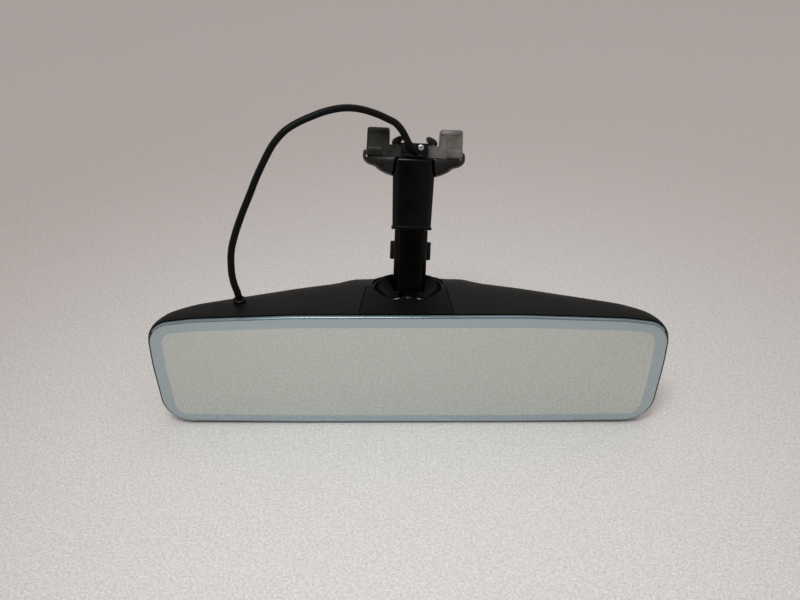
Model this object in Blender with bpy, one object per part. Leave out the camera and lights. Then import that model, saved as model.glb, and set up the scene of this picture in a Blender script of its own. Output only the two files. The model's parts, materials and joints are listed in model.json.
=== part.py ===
"""Interior rearview mirror: a frameless dimming mirror head on a ball stalk with a clip-on windshield mount.

Lengths are in millimetres and are scaled to metres when a mesh is made. The origin is midway between the tops
of the mount's two lugs, where the windshield is. +X is the viewer's right, the glass faces -Y, and +Z is up.
These frames are used:
  stalk frame    origin BALL_DEPTH above the ball's centre, +Z along the stalk, +Y towards the windshield
  stud frame     the stalk frame moved down to the ball's centre
  head frame     origin at the middle of the glass's top edge, axes along the part's own
  ball frame     origin at the ball's centre, fixed to the head, +Z along the middle of the socket
  opening frame  origin at the middle of the socket opening, +Z square to it
The head stands a little off the stalk's axis at rest, because a ball joint stays where it is put.
"""

import math

import bmesh
import bpy
from mathutils import Matrix, Vector

MM = 0.001
GAP = 0.3  # between pieces that touch

# Stalk and ball joint
STALK_TILT = math.radians(24)  # back towards the windshield
STALK_LEAN = math.radians(2.5)  # to the viewer's right
STALK_LENGTH = 78.0  # socket opening to windshield
BALL_DEPTH = 13.0  # ball centre below the socket opening
BALL_RADIUS = 8.5
SHANK_RADIUS = 4.0
SHANK_TOP = 68.0  # in the stalk frame

# Shells round the ball: (inside, outside) radius, and their (top, bottom) in degrees off the socket's axis
LINER_RADII = (8.8, 9.8)
LINER_SPAN = (48, 140)
CUP_RADII = (10.1, 11.1)
CUP_SPAN = (54, 150)
SEAT_RADII = (11.4, 13.2)
SEAT_TOP = 62

# Ball seat and its bracket, in the ball frame
SEAT_HALF_DEPTH = 12.9
SEAT_FLANGE = (-13.2, -11.6)
SEAT_FLANGE_RADIUS = 16.2
SHELF_Z = (-15.0, -13.5)
SHELF_FRONT = -12.6
SHELF_HALF_LENGTH = 18.5
SHELF_STEEL = 1.5
SEAT_SCREW_X = 14.4

# Glass and housing
GLASS_HEIGHT = 63.0
GLASS_THICKNESS = 2.2
GLASS_CORNERS = (  # x, z and radius of those on the right
    (55.0, 0.0, 250.0),
    (103.0, -1.9, 60.0),
    (124.3, -4.8, 12.0),
    (124.6, -27.0, 120.0),
    (122.6, -62.0, 15.0),
    (55.0, -GLASS_HEIGHT, 250.0),
)
OPENING = Vector((0.0, 31.6, -1.9))  # middle of the socket opening, in the head frame
OPENING_TILT = math.radians(6)
OPENING_RADIUS = 17.9
HOUSING_PROUD = 0.7  # how far the housing's rim stands out round the glass
HOUSING_FRONT = GLASS_THICKNESS + GAP
HOUSING_WALL = 1.9
SQUARENESS = 5.0  # exponent of the superelliptic section of the housing
SPINE_HALF_LENGTH = 85.0
SPINE_Z = -27.0
TOP_DEPTH = (  # at its top, along x
    (0.0, 48.0),
    (27.5, 47.2),
    (36.0, 42.2),
    (85.0, 27.0),
    (104.0, 20.8),
    (111.0, 17.6),
    (114.5, 14.9),
    (117.5, 11.6),
    (120.5, 9.4),
    (125.0, 6.5),
)
BACK_FALL = ((30.0, 0.6), (110.0, 0.35))  # share of that depth lost from top to bottom, along x
BACK_FALL_FROM = -10.0
RIM_STEPS = (0.0, 0.05, 0.18, 0.38, 0.58, 0.74, 0.86, 0.94, 0.98)  # shares of a quarter turn from rim to back
BOSS_PROFILE = (  # radius and height of the swelling that holds the socket
    (19.6, 0.0),
    (19.6, -8.0),
    (18.7, -17.0),
    (16.8, -26.0),
    (13.6, -34.0),
    (8.8, -41.0),
    (3.0, -45.0),
)
BOSS_WALL = 1.7
COVER_CORNERS = ((23.2, -3.0), (20.0, 28.8))  # half width and distance behind the glass face
COVER_X = -1.0  # of its middle

# The stack behind the front glass: (front, back) distances behind the glass face
SEAL_Y = (2.5, 2.9)
REAR_GLASS_Y = (3.2, 5.0)
PAD_Y = (5.3, 6.3)
CARRIER_Y = (6.6, 8.2)
BOARD_Y = (10.2, 11.8)
REAR_GLASS_INSET = 2.2
REAR_GLASS_SHARE = 0.966  # of the front glass's length, which leaves room for the housing's thin ends
SEAL_INSET = 5.6
CLIP_HALF_LENGTH = 50.0
CARRIER_HALF_WIDTH = 104.0
CARRIER_Z = (-54.0, -8.5)
CARRIER_CORNER = 7.0
POSTS = ((-99.0, -16.0), (99.0, -16.0), (-99.0, -44.0), (99.0, -44.0))  # x and z of the carrier's screws
SCREW_HOLE = 1.5
SCREW_SHANK = 1.2

# Electronics, in the head frame: (low, high) along x and z
BOARD = ((-94, -30), (-50, -13))
CONNECTOR = ((-85, -77), (-26, -15))
CONNECTOR_HEIGHT = 5.6
GLARE_SENSOR = (-60.0, -42.0)  # x and z of its middle
GLARE_HALF = 2.5
AMBIENT_SENSOR = (-45.0, -30.0)
AMBIENT_HALF = 3.0
CHIP_HEIGHT = 1.4
LENS_RADIUS = 2.9

# Stalk covers: half width and half depth at height s in the stalk frame
LOWER_SLEEVE = ((-2.5, 8.0, 6.3), (28.7, 8.15, 7.2))
UPPER_SLEEVE = ((29.0, 9.9, 8.6), (63.6, 10.7, 9.6))
SLEEVE_WALL = 1.6
TAB_S = (14.0, 23.0)
TAB_X = (5.8, 10.1)
TAB_HALF_DEPTH = 2.0

# Windshield mount, in the stalk frame
LUG_X = (12.1, 23.5)
LUG_HALF_DEPTH = 6.5
LUG_LEVELS = (  # height, and how much narrower and shallower the lug is there
    (64.0, 0.6, 0.8),
    (65.2, 0.0, 0.0),
    (68.3, 0.0, 0.0),
    (68.9, 0.0, 0.7),
    (77.2, 0.25, 0.8),
    (STALK_LENGTH, 1.0, 1.5),
)
BAR_BOTTOM = 64.0
BAR_TOP = 70.0
BAR_HALF_DEPTH = 5.8
SKIRT_LOBES = (  # height, half width, reach to the front and to the back
    (55.4, 11.4, 8.4, 12.0),
    (56.2, 14.2, 8.5, 12.4),
    (58.4, 17.8, 8.6, 12.6),
    (59.4, 19.2, 8.6, 12.6),
    (60.2, 22.6, 8.7, 12.2),
    (62.4, 24.7, 8.8, 11.4),
    (64.6, 25.3, 8.2, 10.6),
    (67.2, 24.9, 7.4, 9.8),
)
SPRING_HALF = (  # x and height round its right half, from the middle of its strip over the leaf-shaped ear
    (0.0, BAR_TOP + GAP),
    (10.8, BAR_TOP + GAP),
    (11.2, 70.9),
    (10.9, 72.2),
    (10.0, 73.2),
    (7.6, 74.4),
    (6.2, 74.4),
    (5.6, 73.9),
    (5.9, 72.6),
    (7.0, 71.2),
    (0.0, 71.2),
)
SPRING_Y = (-3.6, 3.8)
NUT_S = (59.0, 63.4)
NUT_RADIUS = 7.2
BLOCK_HALF_WIDTH = 6.3
BLOCK_Y = (-10.3, -4.9)
BLOCK_TOP = 70.6
TERMINAL = (2.8, 68.6)  # x and height of its screw

# Lead
LEAD_RADIUS = 1.7
LEAD_HOLE = (-81.8, 15.6)  # x and y of its hole in the top of the housing, in the head frame
GROMMET_RADIUS = 2.7
TAIL_DEPTHS = (-0.6, -5.0, -9.0, -14.7)  # of the end inside the housing
LEAD_ROUTE = (
    (0.3, -13.1, -7.5),
    (-1.1, -14.5, -4.5),
    (-3.1, -15.0, -1.9),
    (-4.6, -14.3, 0.9),
    (-6.4, -13.3, 4.0),
    (-9.3, -12.3, 7.2),
    (-12.9, -12.0, 9.2),
    (-18.6, -12.2, 11.9),
    (-25.8, -13.4, 14.5),
    (-33.2, -15.6, 15.8),
    (-41.2, -18.2, 15.2),
    (-48.6, -20.8, 13.3),
    (-54.9, -22.9, 11.0),
    (-60.4, -25.0, 8.0),
    (-65.2, -27.1, 3.4),
    (-68.8, -29.2, -1.9),
    (-73.8, -32.3, -11.0),
    (-77.9, -35.0, -19.9),
    (-81.8, -37.8, -28.2),
    (-85.6, -40.8, -37.7),
    (-87.7, -43.0, -45.5),
    (-88.1, -45.3, -54.1),
    (-87.3, -46.8, -60.0),
    (-85.9, -47.6, -65.1),
    (-85.4, -47.7, -69.3),
)
LEAD_SPLITS = (11, 18)  # where the route's three runs meet, as places in LEAD_ROUTE
LEAD_STEP = 4  # distance between the tube's points
SPLINE_STEPS = 12  # finer steps of the smooth curve between two of the route's points

# Sides of turned pieces
ROUND = 32
BALL_SIDES = 24
SMALL_ROUND = 16
HOLE_SIDES = 12


# ---------------------------------------------------------------------------------------------- frames

STALK_TURN = Matrix.Rotation(STALK_LEAN, 4, "Y") @ Matrix.Rotation(-STALK_TILT, 4, "X")
STALK_UP = STALK_TURN @ Vector((0.0, 0.0, 1.0))
STALK_FRAME = Matrix.Translation(-STALK_LENGTH * STALK_UP) @ STALK_TURN
STUD_FRAME = STALK_FRAME @ Matrix.Translation((0.0, 0.0, -BALL_DEPTH))
BALL_CENTRE = -(STALK_LENGTH + BALL_DEPTH) * STALK_UP
BALL_FRAME = Matrix.Translation(BALL_CENTRE) @ Matrix.Rotation(-STALK_TILT, 4, "X")
OPENING_ORIGIN = BALL_FRAME @ Vector((0.0, 0.0, BALL_DEPTH))
OPENING_FRAME = Matrix.Translation(OPENING_ORIGIN) @ Matrix.Rotation(-OPENING_TILT, 4, "X")
HEAD_FRAME = Matrix.Translation(OPENING_ORIGIN - OPENING)
ROW_FRAME = Matrix.Identity(4)


def add_pivot(name, place):
    """An empty on the joints' axes, which the pieces of one moving body hang from."""
    pivot = bpy.data.objects.new(name, None)
    pivot.empty_display_size = 10 * MM
    pivot.location = place * MM
    bpy.context.scene.collection.objects.link(pivot)
    return pivot


# ------------------------------------------------------------------------------------------- materials


def make_material(name, colour, roughness, metallic=0.0):
    material = bpy.data.materials.new(name)
    material.use_nodes = True
    shader = material.node_tree.nodes["Principled BSDF"]
    shader.inputs["Base Color"].default_value = (*colour, 1.0)
    shader.inputs["Roughness"].default_value = roughness
    shader.inputs["Metallic"].default_value = metallic
    material.diffuse_color = (*colour, 1.0)
    return material


FINISHES = {
    "black_plastic": ((0.013, 0.013, 0.013), 0.55),
    "gloss_black": ((0.006, 0.006, 0.006), 0.15),
    "inner_plastic": ((0.03, 0.03, 0.03), 0.6),
    "nylon": ((0.55, 0.53, 0.48), 0.4),
    "rubber": ((0.012, 0.012, 0.012), 0.8),
    "foam": ((0.05, 0.05, 0.055), 0.95),
    "mirror_glass": ((0.62, 0.65, 0.62), 0.05, 1.0),
    "rear_glass": ((0.45, 0.5, 0.48), 0.1),
    "seal": ((0.35, 0.38, 0.38), 0.3),
    "die_cast": ((0.24, 0.23, 0.21), 0.45, 0.9),
    "dark_cast": ((0.06, 0.058, 0.055), 0.5),
    "steel": ((0.55, 0.55, 0.54), 0.3, 1.0),
    "spring_steel": ((0.03, 0.03, 0.03), 0.35, 0.8),
    "copper": ((0.75, 0.45, 0.28), 0.3, 1.0),
    "board": ((0.02, 0.16, 0.07), 0.5),
    "clear_plastic": ((0.6, 0.6, 0.6), 0.1),
}


# ----------------------------------------------------------------------------------------- mesh helpers


def loft(rings, closed=False):
    """A body through rings of equal length, capped at its ends, or closed from its last ring to its first."""
    body = bmesh.new()
    rows = [[body.verts.new(point) for point in ring] for ring in rings]
    count = len(rows[0])
    pairs = list(zip(rows, rows[1:]))
    if closed:
        pairs.append((rows[-1], rows[0]))
    for low, high in pairs:
        for i in range(count):
            j = (i + 1) % count
            body.faces.new((low[i], low[j], high[j], high[i]))
    if not closed:
        body.faces.new(rows[0])
        body.faces.new(rows[-1])
    bmesh.ops.recalc_face_normals(body, faces=body.faces)
    return body


def circle(radius, height, sides=ROUND, frame=ROW_FRAME):
    angles = [2 * math.pi * k / sides for k in range(sides)]
    return [frame @ Vector((radius * math.cos(angle), radius * math.sin(angle), height)) for angle in angles]


def turned(profile, sides=ROUND, closed=False):
    """A body turned about Z from (radius, height) points. A closed profile makes a ring."""
    return loft([circle(radius, height, sides) for radius, height in profile], closed)


def box(x, y, z):
    """A block from three (low, high) pairs."""
    corners = ((x[0], y[0]), (x[1], y[0]), (x[1], y[1]), (x[0], y[1]))
    return loft([[Vector((a, b, height)) for a, b in corners] for height in z])


def joined(*bodies):
    """Several loose bodies as one mesh, for a cutter or a union."""
    whole = bmesh.new()
    for body in bodies:
        part = bpy.data.meshes.new("part")
        body.to_mesh(part)
        body.free()
        whole.from_mesh(part)
        bpy.data.meshes.remove(part)
    return whole


def add_part(name, body, finish, frame, pivot, sharp=35):
    """An object made of a body that is given in a frame, hung from its pivot."""
    body.transform(Matrix.Translation(-pivot.location) @ Matrix.Scale(MM, 4) @ frame)
    mesh = bpy.data.meshes.new(name)
    body.to_mesh(mesh)
    body.free()
    mesh.shade_smooth()
    mesh.set_sharp_from_angle(angle=math.radians(sharp))
    mesh.materials.append(make_material(name, *FINISHES[finish]))
    piece = bpy.data.objects.new(name, mesh)
    piece.parent = pivot
    bpy.context.scene.collection.objects.link(piece)
    return piece


def cutter(name, body, frame, pivot):
    """A helper that shapes other pieces and is no piece itself."""
    helper = add_part(name, body, "steel", frame, pivot)
    helper.hide_render = True
    helper.display_type = "WIRE"
    return helper


def shape(piece, operation, *helpers):
    for helper in helpers:
        modifier = piece.modifiers.new(helper.name, "BOOLEAN")
        modifier.operation = operation
        modifier.object = helper
    return piece


def soften(piece, width, segments=1, angle=40):
    bevel = piece.modifiers.new("edges", "BEVEL")
    bevel.width = width * MM
    bevel.segments = segments
    bevel.limit_method = "ANGLE"
    bevel.angle_limit = math.radians(angle)
    return piece


def between(points, x):
    """Straight-line interpolation through (x, value) points, held level past both ends."""
    if x <= points[0][0]:
        return points[0][1]
    for (x0, low), (x1, high) in zip(points, points[1:]):
        if x <= x1:
            return low + (high - low) * (x - x0) / (x1 - x0)
    return points[-1][1]


def rounded_outline(corners, arc_step=math.radians(15), longest=9.0):
    """A closed outline through (x, z, radius) corners, with arcs at them and its straight sides in steps."""
    outline = []
    count = len(corners)
    ends = []
    for i, (x, z, radius) in enumerate(corners):
        corner = Vector((x, z))
        before = (Vector(corners[i - 1][:2]) - corner).normalized()
        after = (Vector(corners[(i + 1) % count][:2]) - corner).normalized()
        half = before.angle(after) / 2
        reach = radius / math.tan(half)
        centre = corner + (before + after).normalized() * (radius / math.sin(half))
        start, stop = corner + before * reach, corner + after * reach
        sweep = math.pi - 2 * half
        steps = max(1, math.ceil(sweep / arc_step))
        turn = -sweep if before.cross(after) > 0 else sweep
        arm = start - centre
        ends.append([centre + Matrix.Rotation(turn * k / steps, 2) @ arm for k in range(steps + 1)])
        ends[-1][-1] = stop
    for i, arc in enumerate(ends):
        outline += arc
        gap = ends[(i + 1) % count][0] - arc[-1]
        pieces = max(1, math.ceil(gap.length / longest))
        outline += [arc[-1] + gap * k / pieces for k in range(1, pieces)]
    return outline


def inset(outline, distance):
    """The same outline moved inwards all round, or outwards when the distance is negative."""
    moved = []
    count = len(outline)
    area = sum(outline[i - 1].cross(outline[i]) for i in range(count))
    side = math.copysign(1.0, area)
    for i, point in enumerate(outline):
        along = (outline[(i + 1) % count] - point).normalized() + (point - outline[i - 1]).normalized()
        along.normalize()
        moved.append(point + side * distance * Vector((-along.y, along.x)))
    return moved


def upright(outline, depth):
    """An (x, z) outline as a ring at one distance behind the glass."""
    return [Vector((point.x, depth, point.y)) for point in outline]


def plate(outline, y):
    return loft([upright(outline, y[0]), upright(outline, y[1])])


# ---------------------------------------------------------------------------------------- head's outlines


def mirrored(corners):
    """Corners given on the right, followed by their mirror images."""
    return (*corners, *[(-x, z, radius) for x, z, radius in reversed(corners)])


GLASS_OUTLINE = rounded_outline(mirrored(GLASS_CORNERS))
CARRIER_CORNERS = [(CARRIER_HALF_WIDTH, z, CARRIER_CORNER) for z in reversed(CARRIER_Z)]
CARRIER_OUTLINE = rounded_outline(mirrored(CARRIER_CORNERS))


def back_depth(x, z, wall):
    """Distance of the housing's back behind the glass face, less a wall."""
    top = sum(between(TOP_DEPTH, abs(x + shift)) for shift in (-1.5, 0.0, 1.5)) / 3
    drop = max(0.0, (BACK_FALL_FROM - z) / (GLASS_HEIGHT + BACK_FALL_FROM))
    return HOUSING_FRONT + (top - HOUSING_FRONT) * (1 - between(BACK_FALL, abs(x)) * drop**1.6) - wall


def housing_volume(wall, front):
    """The housing's outside as a solid, or the space inside it when a wall is given."""
    rim = inset(GLASS_OUTLINE, wall - HOUSING_PROUD)
    rings = [upright(rim, front)]
    for step in RIM_STEPS:
        angle = step * math.pi / 2
        reach = math.cos(angle) ** (2 / SQUARENESS)
        rise = math.sin(angle) ** (2 / SQUARENESS)
        ring = []
        for point in rim:
            spine = Vector((max(-SPINE_HALF_LENGTH, min(SPINE_HALF_LENGTH, point.x)), SPINE_Z))
            place = spine + (point - spine) * reach
            depth = HOUSING_FRONT + (back_depth(place.x, place.y, wall) - HOUSING_FRONT) * rise
            ring.append(Vector((place.x, depth, place.y)))
        rings.append(ring)
    if front == HOUSING_FRONT:
        rings.pop(0)
    body = loft(rings)
    caps = [face for face in body.faces if len(face.verts) > 4]
    bmesh.ops.triangulate(body, faces=caps, ngon_method="BEAUTY")
    return body


# ---------------------------------------------------------------------------------------------- mount


def lug(side):
    """One upright of the mount, with a step across its front."""
    inner, outer = LUG_X
    rings = []
    for s, narrow, shallow in LUG_LEVELS:
        near, far = side * (inner + narrow), side * (outer - narrow)
        depth = LUG_HALF_DEPTH - shallow
        corners = ((near, -depth), (far, -depth), (far, depth), (near, depth))
        rings.append([Vector((x, y, s)) for x, y in corners])
    return loft(rings)


def make_mount_bracket(pivot):
    half = LUG_X[1] - 2.0
    bar = box((-half, half), (-BAR_HALF_DEPTH, BAR_HALF_DEPTH), (BAR_BOTTOM + 0.2, BAR_TOP))
    bracket = add_part("mount_bracket", bar, "die_cast", STALK_FRAME, pivot)
    lugs = [cutter(f"lug_{i}", lug(side), STALK_FRAME, pivot) for i, side in enumerate((-1, 1))]
    hole = SHANK_RADIUS + GAP
    stud_hole = turned([(hole, BAR_BOTTOM - 5), (hole, SHANK_TOP + GAP)], SMALL_ROUND)
    half = BLOCK_HALF_WIDTH + GAP
    front_pocket = box((-half, half), (BLOCK_Y[0] - 2, BLOCK_Y[1] + GAP), (BAR_BOTTOM - 5, BAR_TOP + 5))
    shape(bracket, "UNION", *lugs)
    shape(bracket, "DIFFERENCE", cutter("stud_hole", stud_hole, STALK_FRAME, pivot))
    shape(bracket, "DIFFERENCE", cutter("front_pocket", front_pocket, STALK_FRAME, pivot))


def lobe_ring(s, half_width, front, back, squareness=3.0):
    ring = []
    for k in range(ROUND):
        angle = 2 * math.pi * k / ROUND
        across, along = math.cos(angle), math.sin(angle)
        x = half_width * math.copysign(abs(across) ** (2 / squareness), across)
        reach = back if along > 0 else front
        y = reach * math.copysign(abs(along) ** (2 / squareness), along)
        ring.append(Vector((x, y, s)))
    return ring


def make_bracket_skirt(pivot):
    body = loft([lobe_ring(*row) for row in SKIRT_LOBES])
    skirt = add_part("bracket_skirt", body, "dark_cast", STALK_FRAME, pivot)
    half = LUG_X[1] + GAP
    seat = box((-half, half), (-20, 20), (BAR_BOTTOM - GAP, 90))
    sleeve_room = sleeve_body(50.0, 80.0, GAP)
    shape(skirt, "DIFFERENCE", cutter("bracket_seat", seat, STALK_FRAME, pivot))
    shape(skirt, "DIFFERENCE", cutter("sleeve_room", sleeve_room, STALK_FRAME, pivot))


def make_retaining_spring(pivot):
    """The strip that grips the windshield plate between its two leaf-shaped ears, which lean inwards."""
    outline = [*SPRING_HALF[1:-1], *[(-x, s) for x, s in reversed(SPRING_HALF[1:-1])]]
    rings = [[Vector((x, y, s)) for x, s in outline] for y in SPRING_Y]
    add_part("retaining_spring", loft(rings), "spring_steel", STALK_FRAME, pivot)


def make_terminal_block(pivot):
    block = box((-BLOCK_HALF_WIDTH, BLOCK_HALF_WIDTH), BLOCK_Y, (BAR_BOTTOM + GAP, BLOCK_TOP))
    piece = add_part("terminal_block", block, "black_plastic", STALK_FRAME, pivot)
    x, s = TERMINAL
    front = STALK_FRAME @ Matrix.Translation((x, BLOCK_Y[0], s)) @ Matrix.Rotation(math.radians(90), 4, "X")
    screw_hole = turned([(1.3, -3.4), (1.3, 3.0)], SMALL_ROUND)
    shape(piece, "DIFFERENCE", cutter("terminal_screw_hole", screw_hole, front, pivot))
    start, onward = (Vector(point) for point in LEAD_ROUTE[:2])
    slant = (onward - start).to_track_quat("Z", "Y").to_matrix().to_4x4()
    lead_room = turned([(LEAD_RADIUS + GAP, -GAP), (LEAD_RADIUS + GAP, 8.0)], SMALL_ROUND)
    shape(piece, "DIFFERENCE", cutter("lead_room", lead_room, Matrix.Translation(start) @ slant, pivot))
    screw = turned([(1.0, -3.0), (1.0, GAP), (1.5, GAP), (1.5, 1.2), (1.0, 1.4), (0.9, 0.7)], SMALL_ROUND)
    add_part("terminal_screw", screw, "steel", front, pivot)


# ---------------------------------------------------------------------------------------------- stalk


def chamfered(half_width, half_depth, s, corner=2.4):
    """A rectangle with cut corners at height s."""
    w, d = half_width, half_depth
    edge = ((w, -d + corner), (w, d - corner), (w - corner, d), (corner - w, d))
    corners = (*edge, *[(-x, -y) for x, y in edge])
    return [Vector((x, y, s)) for x, y in corners]


def sleeve_size(sizes, s):
    (s0, w0, d0), (s1, w1, d1) = sizes
    share = (s - s0) / (s1 - s0)
    return w0 + (w1 - w0) * share, d0 + (d1 - d0) * share


def sleeve_body(low, high, clear):
    """The space that the upper stalk cover takes, with clearance round it."""
    rings = []
    for s in (low, high):
        w, d = sleeve_size(UPPER_SLEEVE, s)
        rings.append(chamfered(w + clear, d + clear, s))
    return loft(rings)


def make_upper_sleeve(pivot):
    low, high = UPPER_SLEEVE[0][0], UPPER_SLEEVE[1][0]
    outside = ((low, 0.0), (low + 1.4, 0.0), (low + 1.9, 0.35), (high - 1.2, 0.35), (high, 0.9))
    inside = ((high, SLEEVE_WALL + 0.9), (low, SLEEVE_WALL + 0.35))
    rings = []
    for s, narrower in (*outside, *inside):
        w, d = sleeve_size(UPPER_SLEEVE, s)
        rings.append(chamfered(w - narrower, d - narrower, s, 2.4 if narrower < SLEEVE_WALL else 1.6))
    add_part("upper_sleeve", loft(rings, closed=True), "gloss_black", STALK_FRAME, pivot, sharp=20)


def make_lower_sleeve(pivot):
    """The lower stalk cover: two shells that meet at the sides and are held by two latch tabs."""
    low, high = LOWER_SLEEVE[0][0], LOWER_SLEEVE[1][0]
    levels = ((low, 1.2), (low + 2.2, 0.0), (high, 0.0), (high, SLEEVE_WALL), (low, SLEEVE_WALL + 0.25))
    rings = []
    for s, narrower in levels:
        w, d = sleeve_size(LOWER_SLEEVE, s)
        rings.append(chamfered(w - narrower, d - narrower, s, 2.2 if narrower < SLEEVE_WALL else 1.4))
    slot_y = (-TAB_HALF_DEPTH - GAP, TAB_HALF_DEPTH + GAP)
    slot_s = (TAB_S[0] - GAP, TAB_S[1] + GAP)
    slots = joined(*[box((side * 9.0 - 4.0, side * 9.0 + 4.0), slot_y, slot_s) for side in (-1, 1)])
    slot_cutter = cutter("latch_slots", slots, STALK_FRAME, pivot)
    for name, y in (("lower_sleeve_front", (-20, -GAP / 2)), ("lower_sleeve_rear", (GAP / 2, 20))):
        body = loft([list(ring) for ring in rings], closed=True)
        shell = add_part(name, body, "gloss_black", STALK_FRAME, pivot, sharp=20)
        half = cutter(f"{name}_half", box((-20, 20), y, (low - 5, high + 5)), STALK_FRAME, pivot)
        shape(shell, "DIFFERENCE", slot_cutter)
        shape(shell, "INTERSECT", half)


def make_latch_tabs(pivot):
    for name, side in (("latch_tab_left", -1), ("latch_tab_right", 1)):
        x = sorted((side * TAB_X[0], side * TAB_X[1]))
        tab = box(x, (-TAB_HALF_DEPTH, TAB_HALF_DEPTH), TAB_S)
        soften(add_part(name, tab, "black_plastic", STALK_FRAME, pivot), 0.4)


def ball_profile(radius, polar_from, polar_to, steps):
    """Points on a ball from one angle off the stalk's axis to another, in degrees."""
    angles = [math.radians(polar_from + (polar_to - polar_from) * k / steps) for k in range(steps + 1)]
    return [(radius * math.sin(angle), radius * math.cos(angle)) for angle in angles]


def make_ball_stud(pivot):
    neck = math.degrees(math.asin(SHANK_RADIUS / BALL_RADIUS))
    ball = ball_profile(BALL_RADIUS, 176, neck, 12)
    top = BALL_DEPTH + SHANK_TOP
    shank = [(SHANK_RADIUS, 20.0), (SHANK_RADIUS, top - 0.6), (SHANK_RADIUS - 0.6, top)]
    add_part("ball_stud", turned([*ball, *shank], BALL_SIDES), "steel", STUD_FRAME, pivot)


def make_lock_nut(pivot):
    hole = SHANK_RADIUS + GAP
    bore = turned([(hole, NUT_S[0] - 4), (hole, NUT_S[1] + 4)], SMALL_ROUND)
    body = turned([(NUT_RADIUS, s) for s in NUT_S], 6)
    piece = add_part("lock_nut", body, "steel", STALK_FRAME, pivot)
    shape(piece, "DIFFERENCE", cutter("lock_nut_bore", bore, STALK_FRAME, pivot))


def make_ball_shell(name, radii, span, finish, pivot):
    """A spherical shell that grips the ball, open at the top for the shank."""
    inside, outside = radii
    top, bottom = span
    outer = ball_profile(outside, top, bottom, 8)
    inner = ball_profile(inside, bottom, top, 8)
    add_part(name, turned([*outer, *inner], BALL_SIDES, closed=True), finish, BALL_FRAME, pivot)


def seat_screw_places():
    """Where the seat's two screws stand, at the left and right of the ball."""
    return [Matrix.Translation((side * SEAT_SCREW_X, 0.0, 0.0)) for side in (-1, 1)]


def placed(profile, sides, places):
    """The same turned body at each place, as one mesh."""
    bodies = [turned(profile, sides) for _ in places]
    for body, place in zip(bodies, places):
        body.transform(place)
    return joined(*bodies)


def make_ball_seat(pivot):
    inside, outside = SEAT_RADII
    low, high = SEAT_FLANGE
    outer = ball_profile(outside, SEAT_TOP, 100, 5)
    rim = SEAT_FLANGE_RADIUS
    flange = [(12.8, -8.0), (12.8, high), (rim, high), (rim, low), (10.6, low), (10.6, -9.0)]
    inner = ball_profile(inside, 126, SEAT_TOP, 7)
    body = turned([*outer, *flange, *inner], BALL_SIDES, closed=True)
    seat = add_part("ball_seat", body, "inner_plastic", BALL_FRAME, pivot)
    holes = placed([(SCREW_HOLE, low - 5), (SCREW_HOLE, high - GAP)], HOLE_SIDES, seat_screw_places())
    shape(seat, "DIFFERENCE", cutter("seat_screw_holes", holes, BALL_FRAME, pivot))
    sides = box((-20, 20), (-SEAT_HALF_DEPTH, 14), (-30, 20))
    shape(seat, "INTERSECT", cutter("seat_sides", sides, BALL_FRAME, pivot))


def make_dish_spring(pivot):
    ring = [(4.0, -12.3), (8.2, -11.2), (8.4, -11.5), (8.3, -11.7), (4.1, -12.9)]
    add_part("dish_spring", turned(ring, BALL_SIDES, closed=True), "spring_steel", BALL_FRAME, pivot)


def make_seat_bracket(pivot):
    """A pressed steel angle: a shelf under the ball seat and a flange on the carrier plate."""
    across = (-SHELF_HALF_LENGTH, SHELF_HALF_LENGTH)
    bracket = add_part("seat_bracket", box(across, (SHELF_FRONT, 13.0), SHELF_Z), "steel", BALL_FRAME, pivot)
    front_edge = HEAD_FRAME.inverted() @ BALL_FRAME @ Vector((0.0, SHELF_FRONT, SHELF_Z[0]))
    flange_y = (CARRIER_Y[1] + GAP, CARRIER_Y[1] + GAP + SHELF_STEEL)
    flange = box(across, flange_y, (front_edge.z - 16.0, front_edge.z + 1.0))
    web = box(across, (flange_y[0], front_edge.y + SHELF_STEEL), (front_edge.z - 0.6, front_edge.z + 0.9))
    shape(bracket, "UNION", cutter("bracket_web", web, HEAD_FRAME, pivot))
    shape(bracket, "UNION", cutter("bracket_flange", flange, HEAD_FRAME, pivot))
    hole = [(SCREW_HOLE, SHELF_Z[0] - 5), (SCREW_HOLE, SHELF_Z[1] + 3)]
    holes = placed(hole, HOLE_SIDES, seat_screw_places())
    shape(bracket, "DIFFERENCE", cutter("shelf_holes", holes, BALL_FRAME, pivot))
    under, tip = SHELF_Z[0] - GAP, SEAT_FLANGE[1] - 0.6
    for i, place in enumerate(seat_screw_places(), 1):
        shank = [(SCREW_SHANK, under), (SCREW_SHANK, tip)]
        screw = turned([(2.6, under - 1.9), (2.6, under), *shank], HOLE_SIDES)
        screw.transform(place)
        add_part(f"seat_screw_{i}", screw, "steel", BALL_FRAME, pivot)


# ----------------------------------------------------------------------------------------------- head


def facing_back(x, z):
    """Places a body turned about Z so that its axis runs back from the glass face through (x, z)."""
    return Matrix.Translation((x, 0.0, z)) @ Matrix.Rotation(math.radians(-90), 4, "X")


def make_glass(pivot):
    edge = ((0.0, 0.9), (0.22, 0.3), (0.7, 0.0), (1.7, 0.0), (GLASS_THICKNESS, 0.35))
    rings = [upright(inset(GLASS_OUTLINE, inward), depth) for depth, inward in edge]
    add_part("front_glass", loft(rings), "mirror_glass", HEAD_FRAME, pivot)
    squeeze = Vector((REAR_GLASS_SHARE, 1.0))
    outer = [point * squeeze for point in inset(GLASS_OUTLINE, REAR_GLASS_INSET)]
    inner = [point * squeeze for point in inset(GLASS_OUTLINE, SEAL_INSET)]
    add_part("rear_glass", plate(outer, REAR_GLASS_Y), "rear_glass", HEAD_FRAME, pivot)
    front, back = SEAL_Y
    ring = [upright(outer, front), upright(outer, back), upright(inner, back), upright(inner, front)]
    add_part("cell_seal", loft(ring, closed=True), "seal", HEAD_FRAME, pivot)


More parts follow.
